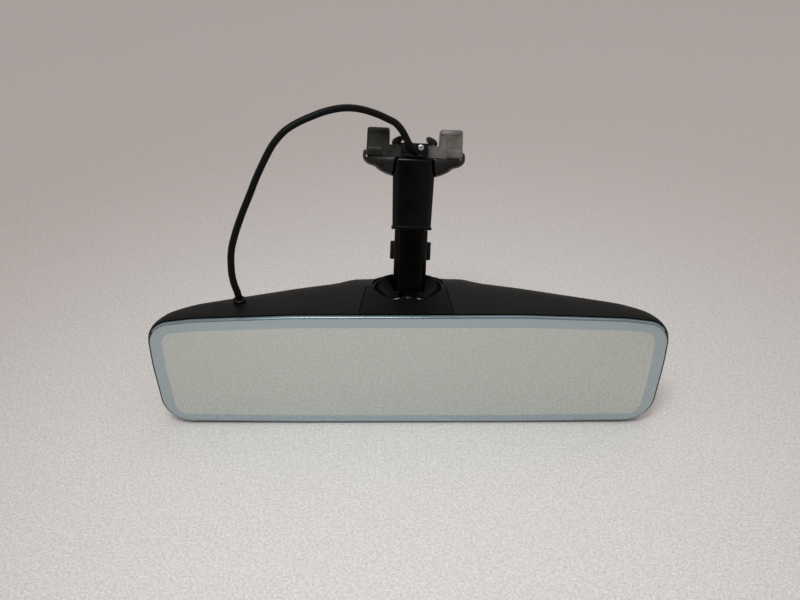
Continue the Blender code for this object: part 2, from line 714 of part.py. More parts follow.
def make_bus_clips(pivot):
    """Two sprung copper strips that feed the dimming cell along its long edges."""
    top_edge, bottom_edge = -REAR_GLASS_INSET, REAR_GLASS_INSET - GLASS_HEIGHT
    front, back = REAR_GLASS_Y[0] + 0.2, PAD_Y[0]
    for name, edge, outward in (("bus_clip_top", top_edge, 1), ("bus_clip_bottom", bottom_edge, -1)):
        section = (
            (front, edge + outward * GAP),
            (front, edge + outward * 0.7),
            (back + 0.5, edge + outward * 0.7),
            (back + 0.5, edge - outward * 4.0),
            (back, edge - outward * 4.0),
            (back, edge + outward * GAP),
        )
        ends = (-CLIP_HALF_LENGTH, CLIP_HALF_LENGTH)
        rings = [[Vector((x, y, z)) for y, z in section] for x in ends]
        add_part(name, loft(rings), "copper", HEAD_FRAME, pivot)


def make_carrier(pivot):
    """The plate that carries the glass, the foam pad between them, and the screws into the posts."""
    pad = add_part("adhesive_pad", plate(CARRIER_OUTLINE, PAD_Y), "foam", HEAD_FRAME, pivot)
    carrier = add_part("carrier_plate", plate(CARRIER_OUTLINE, CARRIER_Y), "inner_plastic", HEAD_FRAME, pivot)
    x, z = GLARE_SENSOR
    half = GLARE_HALF + 1.5
    window = box((x - half, x + half), (PAD_Y[0] - 2, CARRIER_Y[1] + 2), (z - half, z + half))
    window_cutter = cutter("sensor_window", window, HEAD_FRAME, pivot)
    shape(pad, "DIFFERENCE", window_cutter)
    shape(carrier, "DIFFERENCE", window_cutter)
    posts = [facing_back(*post) for post in POSTS]
    holes = placed([(SCREW_HOLE, PAD_Y[0] - 2), (SCREW_HOLE, 20.0)], HOLE_SIDES, posts)
    shape(carrier, "DIFFERENCE", cutter("carrier_holes", holes, HEAD_FRAME, pivot))
    head_room = placed([(3.2, PAD_Y[0] - 2), (3.2, CARRIER_Y[0] - 0.05)], HOLE_SIDES, posts)
    shape(pad, "DIFFERENCE", cutter("pad_holes", head_room, HEAD_FRAME, pivot))
    seat = CARRIER_Y[0] - GAP
    for i, place in enumerate(posts, 1):
        shank = [(SCREW_SHANK, seat), (SCREW_SHANK, 11.4)]
        screw = turned([(2.8, PAD_Y[0] + 0.1), (2.8, seat), *shank], HOLE_SIDES)
        screw.transform(place)
        add_part(f"carrier_screw_{i}", screw, "steel", HEAD_FRAME, pivot)


def chip(name, place, half, y, pivot):
    x, z = place
    body = box((x - half, x + half), y, (z - half, z + half))
    soften(add_part(name, body, "gloss_black", HEAD_FRAME, pivot), 0.3)


def make_electronics(pivot):
    across, upward = BOARD
    soften(add_part("circuit_board", box(across, BOARD_Y, upward), "board", HEAD_FRAME, pivot), 0.3)
    back = BOARD_Y[1] + GAP
    across, upward = CONNECTOR
    connector = box(across, (back, back + CONNECTOR_HEIGHT), upward)
    soften(add_part("board_connector", connector, "nylon", HEAD_FRAME, pivot), 0.4)
    chip("glare_sensor", GLARE_SENSOR, GLARE_HALF, (PAD_Y[1], BOARD_Y[0] - GAP), pivot)
    chip("ambient_sensor", AMBIENT_SENSOR, AMBIENT_HALF, (back, back + CHIP_HEIGHT), pivot)
    outside = back_depth(*AMBIENT_SENSOR, 0.0)
    pipe = turned([(1.9, back + CHIP_HEIGHT + GAP), (2.2, outside - 3.4)], SMALL_ROUND)
    pipe.transform(facing_back(*AMBIENT_SENSOR))
    add_part("light_pipe", pipe, "clear_plastic", HEAD_FRAME, pivot)
    barrel = [(LENS_RADIUS, outside - 3.1), (LENS_RADIUS, outside - 0.9)]
    lens = turned([*barrel, (2.4, outside + 0.1), (1.2, outside + 0.5)], SMALL_ROUND)
    lens.transform(facing_back(*AMBIENT_SENSOR))
    add_part("sensor_lens", lens, "clear_plastic", HEAD_FRAME, pivot)


def cover_block(clear):
    """The wedge-shaped panel between the glass and the socket opening, seen from above."""
    (front_half, front), (back_half, back) = COVER_CORNERS
    front_half, back_half, back = front_half - clear, back_half - clear, back - clear
    ring = ((-front_half, front), (front_half, front), (back_half, back), (-back_half, back))
    return loft([[Vector((COVER_X + x, y, z)) for x, y in ring] for z in (-6.0 + clear, 10.0)])


def make_housing(pivot):
    """The rear shell and the panel let into its top: both are cut from one hollow shape."""
    boss_inside = [(radius - BOSS_WALL, s + (0.6 if s else 0.0)) for radius, s in BOSS_PROFILE[:-1]]
    boss = cutter("boss", turned(BOSS_PROFILE), OPENING_FRAME, pivot)
    boss_bore = cutter("boss_bore", turned([(OPENING_RADIUS, 6.0), *boss_inside]), OPENING_FRAME, pivot)
    hollow = cutter("hollow", housing_volume(HOUSING_WALL, HOUSING_FRONT - 6.5), HEAD_FRAME, pivot)
    housing = add_part("rear_housing", housing_volume(0.0, HOUSING_FRONT), "black_plastic", HEAD_FRAME, pivot)
    cover = bpy.data.objects.new("centre_cover", housing.data.copy())
    cover.data.materials[0] = make_material("centre_cover", *FINISHES["black_plastic"])
    cover.parent = pivot
    bpy.context.scene.collection.objects.link(cover)
    for piece in (housing, cover):
        shape(piece, "UNION", boss)
        shape(piece, "DIFFERENCE", hollow, boss_bore)
    shape(housing, "DIFFERENCE", cutter("cover_room", cover_block(0.0), HEAD_FRAME, pivot))
    shape(cover, "INTERSECT", cutter("cover_shape", cover_block(GAP), HEAD_FRAME, pivot))
    add_screw_posts(housing, pivot)
    window = turned([(LENS_RADIUS + GAP, 5.0), (LENS_RADIUS + GAP, 60.0)], SMALL_ROUND)
    window.transform(facing_back(*AMBIENT_SENSOR))
    shape(housing, "DIFFERENCE", cutter("lens_window", window, HEAD_FRAME, pivot))
    lead_hole = turned([(GROMMET_RADIUS + GAP, -6.0), (GROMMET_RADIUS + GAP, 6.0)], SMALL_ROUND)
    lead_hole.transform(Matrix.Translation((*LEAD_HOLE, 0.0)))
    shape(housing, "DIFFERENCE", cutter("lead_hole", lead_hole, HEAD_FRAME, pivot))


def add_screw_posts(housing, pivot):
    """The posts inside the housing that the carrier's screws go into."""
    for i, (x, z) in enumerate(POSTS, 1):
        depth = back_depth(x, z, 0.8)
        post = turned([(3.0, CARRIER_Y[1] + GAP), (3.4, depth)], SMALL_ROUND)
        post.transform(facing_back(x, z))
        shape(housing, "UNION", cutter(f"post_{i}", post, HEAD_FRAME, pivot))
        screw_hole = turned([(SCREW_HOLE, 0.0), (SCREW_HOLE, min(12.0, depth - 0.8))], HOLE_SIDES)
        screw_hole.transform(facing_back(x, z))
        shape(housing, "DIFFERENCE", cutter(f"post_hole_{i}", screw_hole, HEAD_FRAME, pivot))


def make_lead_grommet(pivot):
    hole = LEAD_RADIUS + GAP
    ring = ((hole, -5.2), (GROMMET_RADIUS, -5.2), (GROMMET_RADIUS, 0.0), (2.3, 0.4), (hole, 0.4))
    grommet = turned(ring, SMALL_ROUND, closed=True)
    grommet.transform(Matrix.Translation((*LEAD_HOLE, 0.0)))
    add_part("lead_grommet", grommet, "rubber", HEAD_FRAME, pivot)


def make_socket_bezel(pivot):
    """The dished ring round the ball, from its rim in the opening to a lower edge square to the socket."""
    rim = BALL_FRAME.inverted() @ OPENING_FRAME
    lower_edge = Matrix.Translation((0.0, 0.0, 6.9))
    inner = ((0.0, 16.9), (0.15, 16.5), (0.45, 15.6), (0.75, 14.1), (1.0, 12.3))
    outer = ((1.0, 13.3), (0.75, 15.1), (0.45, 16.7), (0.15, 17.5), (0.0, 17.6))
    rings = [circle(radius, -0.2, ROUND, rim.lerp(lower_edge, share)) for share, radius in (*inner, *outer)]
    add_part("socket_bezel", loft(rings, closed=True), "gloss_black", BALL_FRAME, pivot)


# ----------------------------------------------------------------------------------------------- lead


def smooth_route(points, step):
    """Points at even distances along a smooth curve through the route's own points."""
    places = [Vector(point) for point in points]
    padded = [2 * places[0] - places[1], *places, 2 * places[-1] - places[-2]]
    fine = []
    for before, start, stop, after in zip(padded, padded[1:], padded[2:], padded[3:]):
        slope = (stop - before) / 2
        bend = before - 2.5 * start + 2 * stop - after / 2
        twist = (3 * start - before - 3 * stop + after) / 2
        for t in [k / SPLINE_STEPS for k in range(SPLINE_STEPS)]:
            fine.append(start + slope * t + bend * t**2 + twist * t**3)
    fine.append(places[-1])
    lengths = [0.0]
    for a, b in zip(fine, fine[1:]):
        lengths.append(lengths[-1] + (b - a).length)
    count = max(2, round(lengths[-1] / step))
    route = []
    for k in range(count + 1):
        target = lengths[-1] * k / count
        i = min(len(fine) - 2, max(j for j, length in enumerate(lengths) if length <= target + 1e-9))
        share = (target - lengths[i]) / (lengths[i + 1] - lengths[i])
        route.append(fine[i].lerp(fine[i + 1], share))
    return route


def shortened(route, first, last):
    """The route with a little taken off one or both of its ends."""
    route = list(route)
    route[0] += (route[1] - route[0]).normalized() * first
    route[-1] += (route[-2] - route[-1]).normalized() * last
    return route


def add_lead(name, route, pivot):
    line = bpy.data.curves.new(name, "CURVE")
    line.dimensions = "3D"
    line.bevel_depth = LEAD_RADIUS * MM
    line.bevel_resolution = 2
    line.use_fill_caps = True
    spline = line.splines.new("POLY")
    spline.points.add(len(route) - 1)
    for point, place in zip(spline.points, route):
        point.co = (*(place * MM - pivot.location), 1.0)
    line.materials.append(make_material(name, *FINISHES["rubber"]))
    tube = bpy.data.objects.new(name, line)
    tube.parent = pivot
    bpy.context.scene.collection.objects.link(tube)


def make_lead(mount_pivot, ball_pivot):
    """The lead in three runs, one for each of the ball joint's three motions, and its end in the housing."""
    whole = smooth_route(LEAD_ROUTE, 1.0)
    ends = [Vector(LEAD_ROUTE[split]) for split in LEAD_SPLITS]
    first, second = (min(range(len(whole)), key=lambda i: (whole[i] - end).length) for end in ends)
    runs = (whole[: first + 1], whole[first : second + 1], whole[second:])
    names = ("lead_run_mount", "lead_run_middle", "lead_run_housing")
    for name, run, pivot in zip(names, runs, (mount_pivot, ball_pivot, ball_pivot)):
        route = run[:-1:LEAD_STEP] + [run[-1]]
        if (route[-1] - route[-2]).length < LEAD_STEP / 2:
            route.pop(-2)
        add_lead(name, shortened(route, GAP, GAP), pivot)
    tail = [HEAD_FRAME @ Vector((*LEAD_HOLE, z)) for z in TAIL_DEPTHS]
    add_lead("lead_tail", tail, ball_pivot)


# --------------------------------------------------------------------------------------------- assembly


def main():
    for leftover in list(bpy.data.objects):
        bpy.data.objects.remove(leftover)
    mount_pivot = add_pivot("mount_pivot", Vector((0.0, 0.0, 0.0)))
    ball_pivot = add_pivot("ball_pivot", BALL_CENTRE)
    bpy.context.view_layer.update()

    make_mount_bracket(mount_pivot)
    make_bracket_skirt(mount_pivot)
    make_retaining_spring(mount_pivot)
    make_terminal_block(mount_pivot)
    make_lock_nut(mount_pivot)
    make_upper_sleeve(mount_pivot)
    make_lower_sleeve(mount_pivot)
    make_latch_tabs(mount_pivot)
    make_ball_stud(mount_pivot)

    make_ball_shell("ball_liner", LINER_RADII, LINER_SPAN, "nylon", ball_pivot)
    make_ball_shell("socket_cup", CUP_RADII, CUP_SPAN, "steel", ball_pivot)

    make_ball_seat(ball_pivot)
    make_dish_spring(ball_pivot)
    make_seat_bracket(ball_pivot)
    make_glass(ball_pivot)
    make_bus_clips(ball_pivot)
    make_carrier(ball_pivot)
    make_electronics(ball_pivot)
    make_housing(ball_pivot)
    make_socket_bezel(ball_pivot)
    make_lead_grommet(ball_pivot)
    make_lead(mount_pivot, ball_pivot)


main()
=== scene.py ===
"""Looks of the interior rearview mirror: finer shapes, materials, the floor, the light and the camera.

Shapes are made in millimetres, in one of three frames worked out from the CAD frame. add() scales them:
  head    origin at the middle of the glass's top edge, -Y out of the glass
  stalk   +Z along the stalk, +Y towards the windshield, with the mount's lug tops at STALK_LENGTH
  ball    origin at the ball's centre, +Z along the middle of the socket
"""

import json
import math

import bmesh
import bpy
import numpy as np
from mathutils import Matrix, Vector


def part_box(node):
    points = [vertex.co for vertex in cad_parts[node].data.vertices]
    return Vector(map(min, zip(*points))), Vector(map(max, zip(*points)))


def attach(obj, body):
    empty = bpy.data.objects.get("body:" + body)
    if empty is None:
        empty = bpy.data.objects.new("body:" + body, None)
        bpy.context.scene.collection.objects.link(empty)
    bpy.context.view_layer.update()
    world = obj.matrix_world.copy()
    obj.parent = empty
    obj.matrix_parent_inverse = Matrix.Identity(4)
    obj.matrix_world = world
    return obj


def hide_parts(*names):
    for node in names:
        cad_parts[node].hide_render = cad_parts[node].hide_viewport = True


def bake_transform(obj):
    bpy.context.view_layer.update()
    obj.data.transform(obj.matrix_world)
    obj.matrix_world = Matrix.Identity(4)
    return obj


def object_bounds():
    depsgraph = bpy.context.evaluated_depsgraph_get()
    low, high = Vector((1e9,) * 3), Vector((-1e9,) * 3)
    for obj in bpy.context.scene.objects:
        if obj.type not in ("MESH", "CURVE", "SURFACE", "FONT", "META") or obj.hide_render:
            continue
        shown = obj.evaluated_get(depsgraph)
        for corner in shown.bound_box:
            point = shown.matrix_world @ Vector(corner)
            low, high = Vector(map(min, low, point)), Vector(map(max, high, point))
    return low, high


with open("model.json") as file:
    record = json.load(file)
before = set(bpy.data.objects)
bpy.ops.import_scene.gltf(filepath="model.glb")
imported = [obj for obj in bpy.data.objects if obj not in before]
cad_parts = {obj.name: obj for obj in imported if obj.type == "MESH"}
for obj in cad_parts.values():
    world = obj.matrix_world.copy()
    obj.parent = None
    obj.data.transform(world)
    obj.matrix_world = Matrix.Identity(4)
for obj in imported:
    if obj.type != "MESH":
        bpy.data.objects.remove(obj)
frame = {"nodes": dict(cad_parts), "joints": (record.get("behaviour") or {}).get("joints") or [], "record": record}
CAD_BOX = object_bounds()

MM = 0.001
GAP = 0.3
FLOOR_HALF_SIDE = 30.0  # in metres
UNIT = Matrix.Identity(4)

# Driving dimensions, as the CAD has them
STALK_LENGTH = 78.0
STUD_LENGTH = 68.0
STALK_TILT = math.radians(24)
OPENING_TILT = math.radians(6)
BALL_DEPTH = 13.0
BALL_RADIUS = 8.5
GLASS_HEIGHT = 63.0
GLASS_THICKNESS = 2.2
GLASS_CORNERS = (
    (55.0, 0.0, 250.0),
    (103.0, -1.9, 60.0),
    (124.3, -4.8, 12.0),
    (124.6, -27.0, 120.0),
    (122.6, -62.0, 15.0),
    (55.0, -GLASS_HEIGHT, 250.0),
)
MIRROR_CORNERS = (  # of the mirror inside its band
    (55.0, -6.0, 250.0),
    (103.0, -7.6, 60.0),
    (117.6, -9.4, 6.0),
    (118.2, -27.0, 120.0),
    (116.2, -57.4, 6.5),
    (55.0, -58.4, 250.0),
)
HOUSING_FRONT = 2.5
HOUSING_WALL = 1.9
HOUSING_PROUD = 0.7
SQUARENESS = 5.0
SPINE_HALF_LENGTH = 85.0
SPINE_Z = -27.0
SPINE_REACHES = (0.15, 0.11, 0.07, 0.035, 0.006)  # closing rings of the back, as shares of its width
TOP_DEPTH = (
    (0.0, 48.0),
    (27.5, 47.2),
    (36.0, 42.2),
    (85.0, 27.0),
    (104.0, 20.8),
    (111.0, 17.6),
    (114.5, 14.9),
    (117.5, 11.6),
    (120.5, 9.4),
    (125.0, 6.5),
)
BACK_FALL = ((30.0, 0.6), (110.0, 0.35))
BACK_FALL_FROM = -10.0
BOSS_PROFILE = (
    (19.6, 0.0),
    (19.6, -8.0),
    (18.7, -17.0),
    (16.8, -26.0),
    (13.6, -34.0),
    (8.8, -41.0),
    (3.0, -45.0),
)
BOSS_BLEND = 2.6
OPENING_RADIUS = 17.9
COVER_CORNERS = ((23.2, -3.0), (20.0, 28.8))
COVER_X = -1.0
SENSOR = (-45.0, -30.0)
LENS_RADIUS = 2.9
LOWER_SLEEVE = ((-2.5, 8.0, 6.3), (28.7, 8.15, 7.2))
UPPER_SLEEVE = ((29.0, 9.9, 8.6), (63.6, 10.7, 9.6))
SLEEVE_WALL = 1.6
SHANK_RADIUS = 4.0
TAB_S = (14.0, 23.0)
LUG_X = (12.1, 23.5)
LUG_HALF_DEPTH = 6.5
BAR = (64.0, 70.0)
BLOCK_Y = (-10.3, -4.9)
BLOCK_TOP = 70.6
BLOCK_HALF_WIDTH = 6.3
TERMINAL = (2.8, 68.6)
LEAD_HOLE = (-81.8, 15.6)
LEAD_RADIUS = 1.7
LEAD_SPLITS = (11, 18)
LEAD_ROUTE = (
    (0.3, -13.1, -7.5),
    (-1.1, -14.5, -4.5),
    (-3.1, -15.0, -1.9),
    (-4.6, -14.3, 0.9),
    (-6.4, -13.3, 4.0),
    (-9.3, -12.3, 7.2),
    (-12.9, -12.0, 9.2),
    (-18.6, -12.2, 11.9),
    (-25.8, -13.4, 14.5),
    (-33.2, -15.6, 15.8),
    (-41.2, -18.2, 15.2),
    (-48.6, -20.8, 13.3),
    (-54.9, -22.9, 11.0),
    (-60.4, -25.0, 8.0),
    (-65.2, -27.1, 3.4),
    (-68.8, -29.2, -1.9),
    (-73.8, -32.3, -11.0),
    (-77.9, -35.0, -19.9),
    (-81.8, -37.8, -28.2),
    (-85.6, -40.8, -37.7),
    (-87.7, -43.0, -45.5),
    (-88.1, -45.3, -54.1),
    (-87.3, -46.8, -60.0),
    (-85.9, -47.6, -65.1),
    (-85.4, -47.7, -69.3),
)


# ------------------------------------------------------------------------------------------------ frames


def find_frames():
    """The frames in millimetres, from the glass, the mounts and the joints."""
    low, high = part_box("front_glass")
    head = Matrix.Translation(Vector(((low.x + high.x) / 2, low.y, high.z)) / MM)
    mounts = {mount["name"]: mount for mount in frame["record"]["mounts"]}
    up = Vector(mounts["windshield_plate"]["axis"]).normalized()
    lugs = [Vector(mounts[name]["pos_m"]) for name in ("left_lug_top", "right_lug_top")]
    across = (lugs[1] - lugs[0]).normalized()
    turn = Matrix((across, up.cross(across), up)).transposed().to_4x4()
    stalk = Matrix.Translation(-STALK_LENGTH * up) @ turn
    centre = Vector(frame["joints"][0]["pos_m"]) / MM
    ball = Matrix.Translation(centre) @ Matrix.Rotation(-STALK_TILT, 4, "X")
    opening = Matrix.Translation(ball @ Vector((0, 0, BALL_DEPTH))) @ Matrix.Rotation(-OPENING_TILT, 4, "X")
    return head, stalk, ball, opening


HEAD, STALK, BALL, OPENING = find_frames()


# ------------------------------------------------------------------------------- camera, floor and light


def make_camera():
    """Looks down at the mirror's top and glass from the front."""
    camera = bpy.data.cameras.new("camera")
    camera.lens = 36
    camera.sensor_width = 36
    camera.clip_start = 0.01
    view = bpy.data.objects.new("camera", camera)
    bpy.context.scene.collection.objects.link(view)
    view.location = (HEAD.translation + Vector((-3.5, -317.0, 200.0))) * MM
    view.rotation_euler = (math.radians(59), math.radians(0.12), 0)
    bpy.context.scene.camera = view


def area_light(name, place, target, size, power, colour=(1, 1, 1)):
    light = bpy.data.lights.new(name, "AREA")
    light.shape = "RECTANGLE"
    light.size, light.size_y = size
    light.energy = power
    light.color = colour
    lamp = bpy.data.objects.new(name, light)
    bpy.context.scene.collection.objects.link(lamp)
    lamp.location = place
    lamp.rotation_euler = (Vector(target) - Vector(place)).to_track_quat("-Z", "Y").to_euler()


def make_surround():
    """An even warm surround, dark on the viewer's side, as a person standing there makes it."""
    world = bpy.data.worlds.new("surround")
    world.use_nodes = True
    nodes, links = world.node_tree.nodes, world.node_tree.links
    direction = nodes.new("ShaderNodeSeparateXYZ")
    links.new(nodes.new("ShaderNodeTexCoord").outputs["Generated"], direction.inputs["Vector"])
    sideways = nodes.new("ShaderNodeMath")
    sideways.operation = "ABSOLUTE"
    links.new(direction.outputs["X"], sideways.inputs[0])
    away = nodes.new("ShaderNodeMath")
    away.operation = "MULTIPLY_ADD"
    away.inputs[1].default_value = 0.9
    links.new(direction.outputs["Y"], away.inputs[0])
    links.new(sideways.outputs["Value"], away.inputs[2])
    strength = nodes.new("ShaderNodeMapRange")
    strength.interpolation_type = "SMOOTHSTEP"
    strength.inputs["From Min"].default_value = -0.80
    strength.inputs["From Max"].default_value = -0.52
    strength.inputs["To Min"].default_value = 0.02
    strength.inputs["To Max"].default_value = 0.57
    links.new(away.outputs["Value"], strength.inputs["Value"])
    shader = nodes["Background"]
    shader.inputs["Color"].default_value = (1.0, 0.94, 0.925, 1.0)
    links.new(strength.outputs["Result"], shader.inputs["Strength"])
    bpy.context.scene.world = world


def make_light():
    """A soft pool of cooler light over the mirror, and a weak box overhead that gives the highlights."""
    middle = (CAD_BOX[0] + CAD_BOX[1]) / 2
    area_light("overhead", middle + Vector((0.35, 0.3, 1.1)), middle, (0.9, 0.5), 1.4, (0.95, 0.98, 1.0))
    lamp = bpy.data.lights.new("pool", "SPOT")
    lamp.energy = 21.5
    lamp.color = (0.85, 0.95, 1.0)
    lamp.shadow_soft_size = 0.16
    lamp.spot_size = math.radians(43)
    lamp.spot_blend = 1.0
    pool = bpy.data.objects.new("pool", lamp)
    bpy.context.scene.collection.objects.link(pool)
    target = Vector((middle.x, HEAD.translation.y * MM - 0.06, CAD_BOX[0].z))
    pool.location = target + Vector((-0.12, -0.35, 0.85))
    pool.rotation_euler = (target - pool.location).to_track_quat("-Z", "Y").to_euler()
    bpy.context.scene.view_settings.view_transform = "Standard"


# --------------------------------------------------------------------------------------------- materials


class Nodes:
    """A material's node tree, with short ways to add and join nodes. Scales are per metre of the object."""

    def __init__(self, name):
        self.material = bpy.data.materials.new(name)
        self.material.use_nodes = True
        self.tree = self.material.node_tree
        self.shader = self.tree.nodes["Principled BSDF"]
        self.place = self.tree.nodes.new("ShaderNodeTexCoord").outputs["Object"]

    def add(self, kind, **settings):
        node = self.tree.nodes.new("ShaderNode" + kind)
        for key, value in settings.items():
            setattr(node, key, value)
        return node

    def join(self, output, socket):
        self.tree.links.new(output, socket)

    def set(self, **values):
        """Fixed values of the shader's own sockets."""
        for key, value in values.items():
            self.shader.inputs[key.replace("_", " ")].default_value = value

    def stretched(self, scale):
        """Object coordinates scaled apart along X, Y and Z."""
        mapping = self.add("Mapping")
        mapping.inputs["Scale"].default_value = scale
        self.join(self.place, mapping.inputs["Vector"])
        return mapping.outputs["Vector"]

    def noise(self, scale, detail=4.0, roughness=0.55, place=None):
        node = self.add("TexNoise")
        node.inputs["Scale"].default_value = scale
        node.inputs["Detail"].default_value = detail
        node.inputs["Roughness"].default_value = roughness
        self.join(place or self.place, node.inputs["Vector"])
        return node.outputs["Fac"]

    def grains(self, scale, place=None):
        node = self.add("TexVoronoi")
        node.inputs["Scale"].default_value = scale
        self.join(place or self.place, node.inputs["Vector"])
        return node.outputs["Distance"]

    def ranged(self, value, low, high, start=0.3, stop=0.7):
        """A number that runs from low to high as a pattern runs from start to stop."""
        node = self.add("MapRange")
        node.inputs["From Min"].default_value = start
        node.inputs["From Max"].default_value = stop
        node.inputs["To Min"].default_value = low
        node.inputs["To Max"].default_value = high
        self.join(value, node.inputs["Value"])
        return node.outputs["Result"]

    def tinted(self, value, low, high, start=0.3, stop=0.7):
        """A colour that runs from low to high with a pattern."""
        node = self.add("ValToRGB")
        first, last = node.color_ramp.elements
        first.position, last.position = start, stop
        first.color, last.color = (*low, 1), (*high, 1)
        self.join(value, node.inputs["Fac"])
        return node.outputs["Color"]

    def colour(self, output):
        self.join(output, self.shader.inputs["Base Color"])

    def roughness(self, output):
        self.join(output, self.shader.inputs["Roughness"])

    def bump(self, height, depth, strength=1.0):
        """Relief whose full height is depth metres. A later relief lies on the earlier one."""
        node = self.add("Bump")
        node.inputs["Strength"].default_value = strength
        node.inputs["Distance"].default_value = depth
        self.join(height, node.inputs["Height"])
        normal = self.shader.inputs["Normal"]
        if normal.links:
            self.join(normal.links[0].from_socket, node.inputs["Normal"])
        self.join(node.outputs["Normal"], normal)


def moulded(name, dark, light, rough, grain=2600, relief=0.00003, clouds=60):
    """Moulded plastic or rubber: a fine grain, with its tone and gloss drifting slowly over it."""
    nodes = Nodes(name)
    drift = nodes.noise(clouds, 3)
    nodes.colour(nodes.tinted(drift, dark, light))
    nodes.roughness(nodes.ranged(nodes.noise(clouds * 2.3, 4), *rough))
    nodes.bump(nodes.noise(grain, 2, 0.6), relief)
    return nodes


def textured_black():
    """Fine spark-eroded texture, as on the housing."""
    dark, light = (0.0031, 0.0033, 0.0027), (0.0044, 0.0046, 0.0038)
    nodes = moulded("textured_black", dark, light, (0.44, 0.52), 3600, 0.00005)
    nodes.bump(nodes.grains(2300), 0.00003)
    nodes.set(Specular_IOR_Level=0.1)
    return nodes.material


def gloss_black():
    dark, light = (0.0008, 0.0008, 0.0007), (0.0016, 0.0015, 0.0013)
    nodes = moulded("gloss_black", dark, light, (0.13, 0.24), 700, 0.000004)
    nodes.bump(nodes.noise(90, 2), 0.00002)
    nodes.set(Specular_IOR_Level=0.12)
    return nodes.material


def dish_black():
    """The dish round the ball is smoother and deeper black than the stalk covers."""
    dark, light = (0.0006, 0.0006, 0.0006), (0.0012, 0.0012, 0.0012)
    nodes = moulded("dish_black", dark, light, (0.12, 0.2), 900, 0.000005)
    nodes.set(Specular_IOR_Level=0.1)
    return nodes.material


def painted_shade_cover_black():
    """The cover's plastic, smoother and a little greener than the housing's, and painted much darker than it as
    painted shade: a dark reflection of the viewer's side.
    """
    # painted shade: these colours are far darker than the housing's and stand for a dark reflection on the cover
    dark, light = (0.0008, 0.0012, 0.0008), (0.0014, 0.0019, 0.0013)
    nodes = moulded("painted_shade_cover_black", dark, light, (0.44, 0.52), 3600, 0.00004)
    nodes.set(Specular_IOR_Level=0.07)
    return nodes.material


def inner_plastic():
    dark, light = (0.022, 0.022, 0.022), (0.034, 0.034, 0.035)
    return moulded("inner_plastic", dark, light, (0.5, 0.65), 1800).material


def nylon():
    nodes = moulded("nylon", (0.50, 0.48, 0.42), (0.60, 0.58, 0.52), (0.35, 0.5), 1500)
    nodes.set(Subsurface_Weight=0.15, Subsurface_Radius=(0.002, 0.0015, 0.001))
    return nodes.material


def black_rubber():
    """The lead's jacket: matt, with fine drawing lines and a faint sheen."""
    dark, light = (0.0011, 0.0011, 0.0009), (0.0024, 0.0023, 0.0019)
    nodes = moulded("black_rubber", dark, light, (0.36, 0.5), 2200, 0.00002, 90)
    nodes.set(Specular_IOR_Level=0.12, Sheen_Weight=0.01, Sheen_Roughness=0.4)
    return nodes.material


def foam():
    nodes = moulded("foam", (0.03, 0.03, 0.033), (0.06, 0.06, 0.065), (0.85, 0.98), 900)
    nodes.bump(nodes.grains(1500), 0.0003)
    return nodes.material


def smudged_mirror(name, colour):
    """Silvered glass with faint smears, which show only as a change of gloss."""
    nodes = Nodes(name)
    smears = nodes.noise(14, 5, 0.6, nodes.stretched((1.0, 1.0, 2.4)))
    nodes.roughness(nodes.ranged(smears, 0.015, 0.05, 0.4, 0.75))
    deeper = tuple(channel * 0.965 for channel in colour)
    nodes.colour(nodes.tinted(nodes.noise(9, 3), deeper, colour))
    nodes.set(Metallic=1.0)
    return nodes.material


def polished_edge():
    """The ground and polished rim of the glass, bluish in its depth."""
    nodes = Nodes("polished_edge")
    nodes.colour(nodes.tinted(nodes.noise(40, 3), (0.12, 0.165, 0.185), (0.17, 0.225, 0.245)))
    nodes.roughness(nodes.ranged(nodes.noise(500, 3), 0.08, 0.2))
    nodes.set(Metallic=0.35, Coat_Weight=0.4, Coat_Roughness=0.05)
    return nodes.material


def shaded_edge():
    """The rim at the glass's ends, where it looks into the dark gap round it."""
    nodes = Nodes("shaded_edge")
    nodes.colour(nodes.tinted(nodes.noise(40, 3), (0.010, 0.012, 0.013), (0.02, 0.024, 0.026)))
    nodes.roughness(nodes.ranged(nodes.noise(500, 3), 0.1, 0.25))
    nodes.set(Specular_IOR_Level=0.3)
    return nodes.material


def clear(name, colour, rough):
    nodes = Nodes(name)
    nodes.roughness(nodes.ranged(nodes.noise(120, 3), rough, rough + 0.06))
    nodes.colour(nodes.tinted(nodes.noise(60, 2), colour, tuple(min(1.0, c * 1.08) for c in colour)))
    nodes.set(Transmission_Weight=0.85, IOR=1.49)
    return nodes.material


def cell_seal():
    return moulded("cell_seal", (0.30, 0.33, 0.33), (0.38, 0.41, 0.41), (0.25, 0.4), 900).material


def die_cast():
    """Bare die casting, mottled and dimpled: beige grey on its right, with painted shade on its left, where the
    same mottle turns dark olive as if the light came from the right.
    """
    nodes = Nodes("die_cast")
    mottle = nodes.noise(170, 5, 0.6)
    pale = nodes.tinted(mottle, (0.08, 0.07, 0.06), (0.19, 0.166, 0.145))
    # painted shade: a dark olive copy of the mottle for the mount's left side, as if that side were out of the
    # light
    painted_shade_tone = nodes.tinted(mottle, (0.004, 0.004, 0.0028), (0.034, 0.031, 0.024), 0.35, 0.8)
    across = nodes.add("SeparateXYZ")
    nodes.join(nodes.place, across.inputs["Vector"])
    # painted shade mask: across X, from left to right, the colour turns from the dark copy to the beige grey
    mix = nodes.add("Mix", data_type="RGBA")
    nodes.join(nodes.ranged(across.outputs["X"], 0.0, 1.0, -0.012, 0.013), mix.inputs["Factor"])
    nodes.join(painted_shade_tone, mix.inputs["A"])
    nodes.join(pale, mix.inputs["B"])
    nodes.colour(mix.outputs["Result"])
    nodes.roughness(nodes.ranged(nodes.noise(420, 4), 0.32, 0.5))
    nodes.bump(nodes.noise(900, 4), 0.00006)
    nodes.bump(nodes.noise(120, 2), 0.0002, 0.6)
    nodes.set(Metallic=0.3, Specular_IOR_Level=0.3)
    return nodes.material


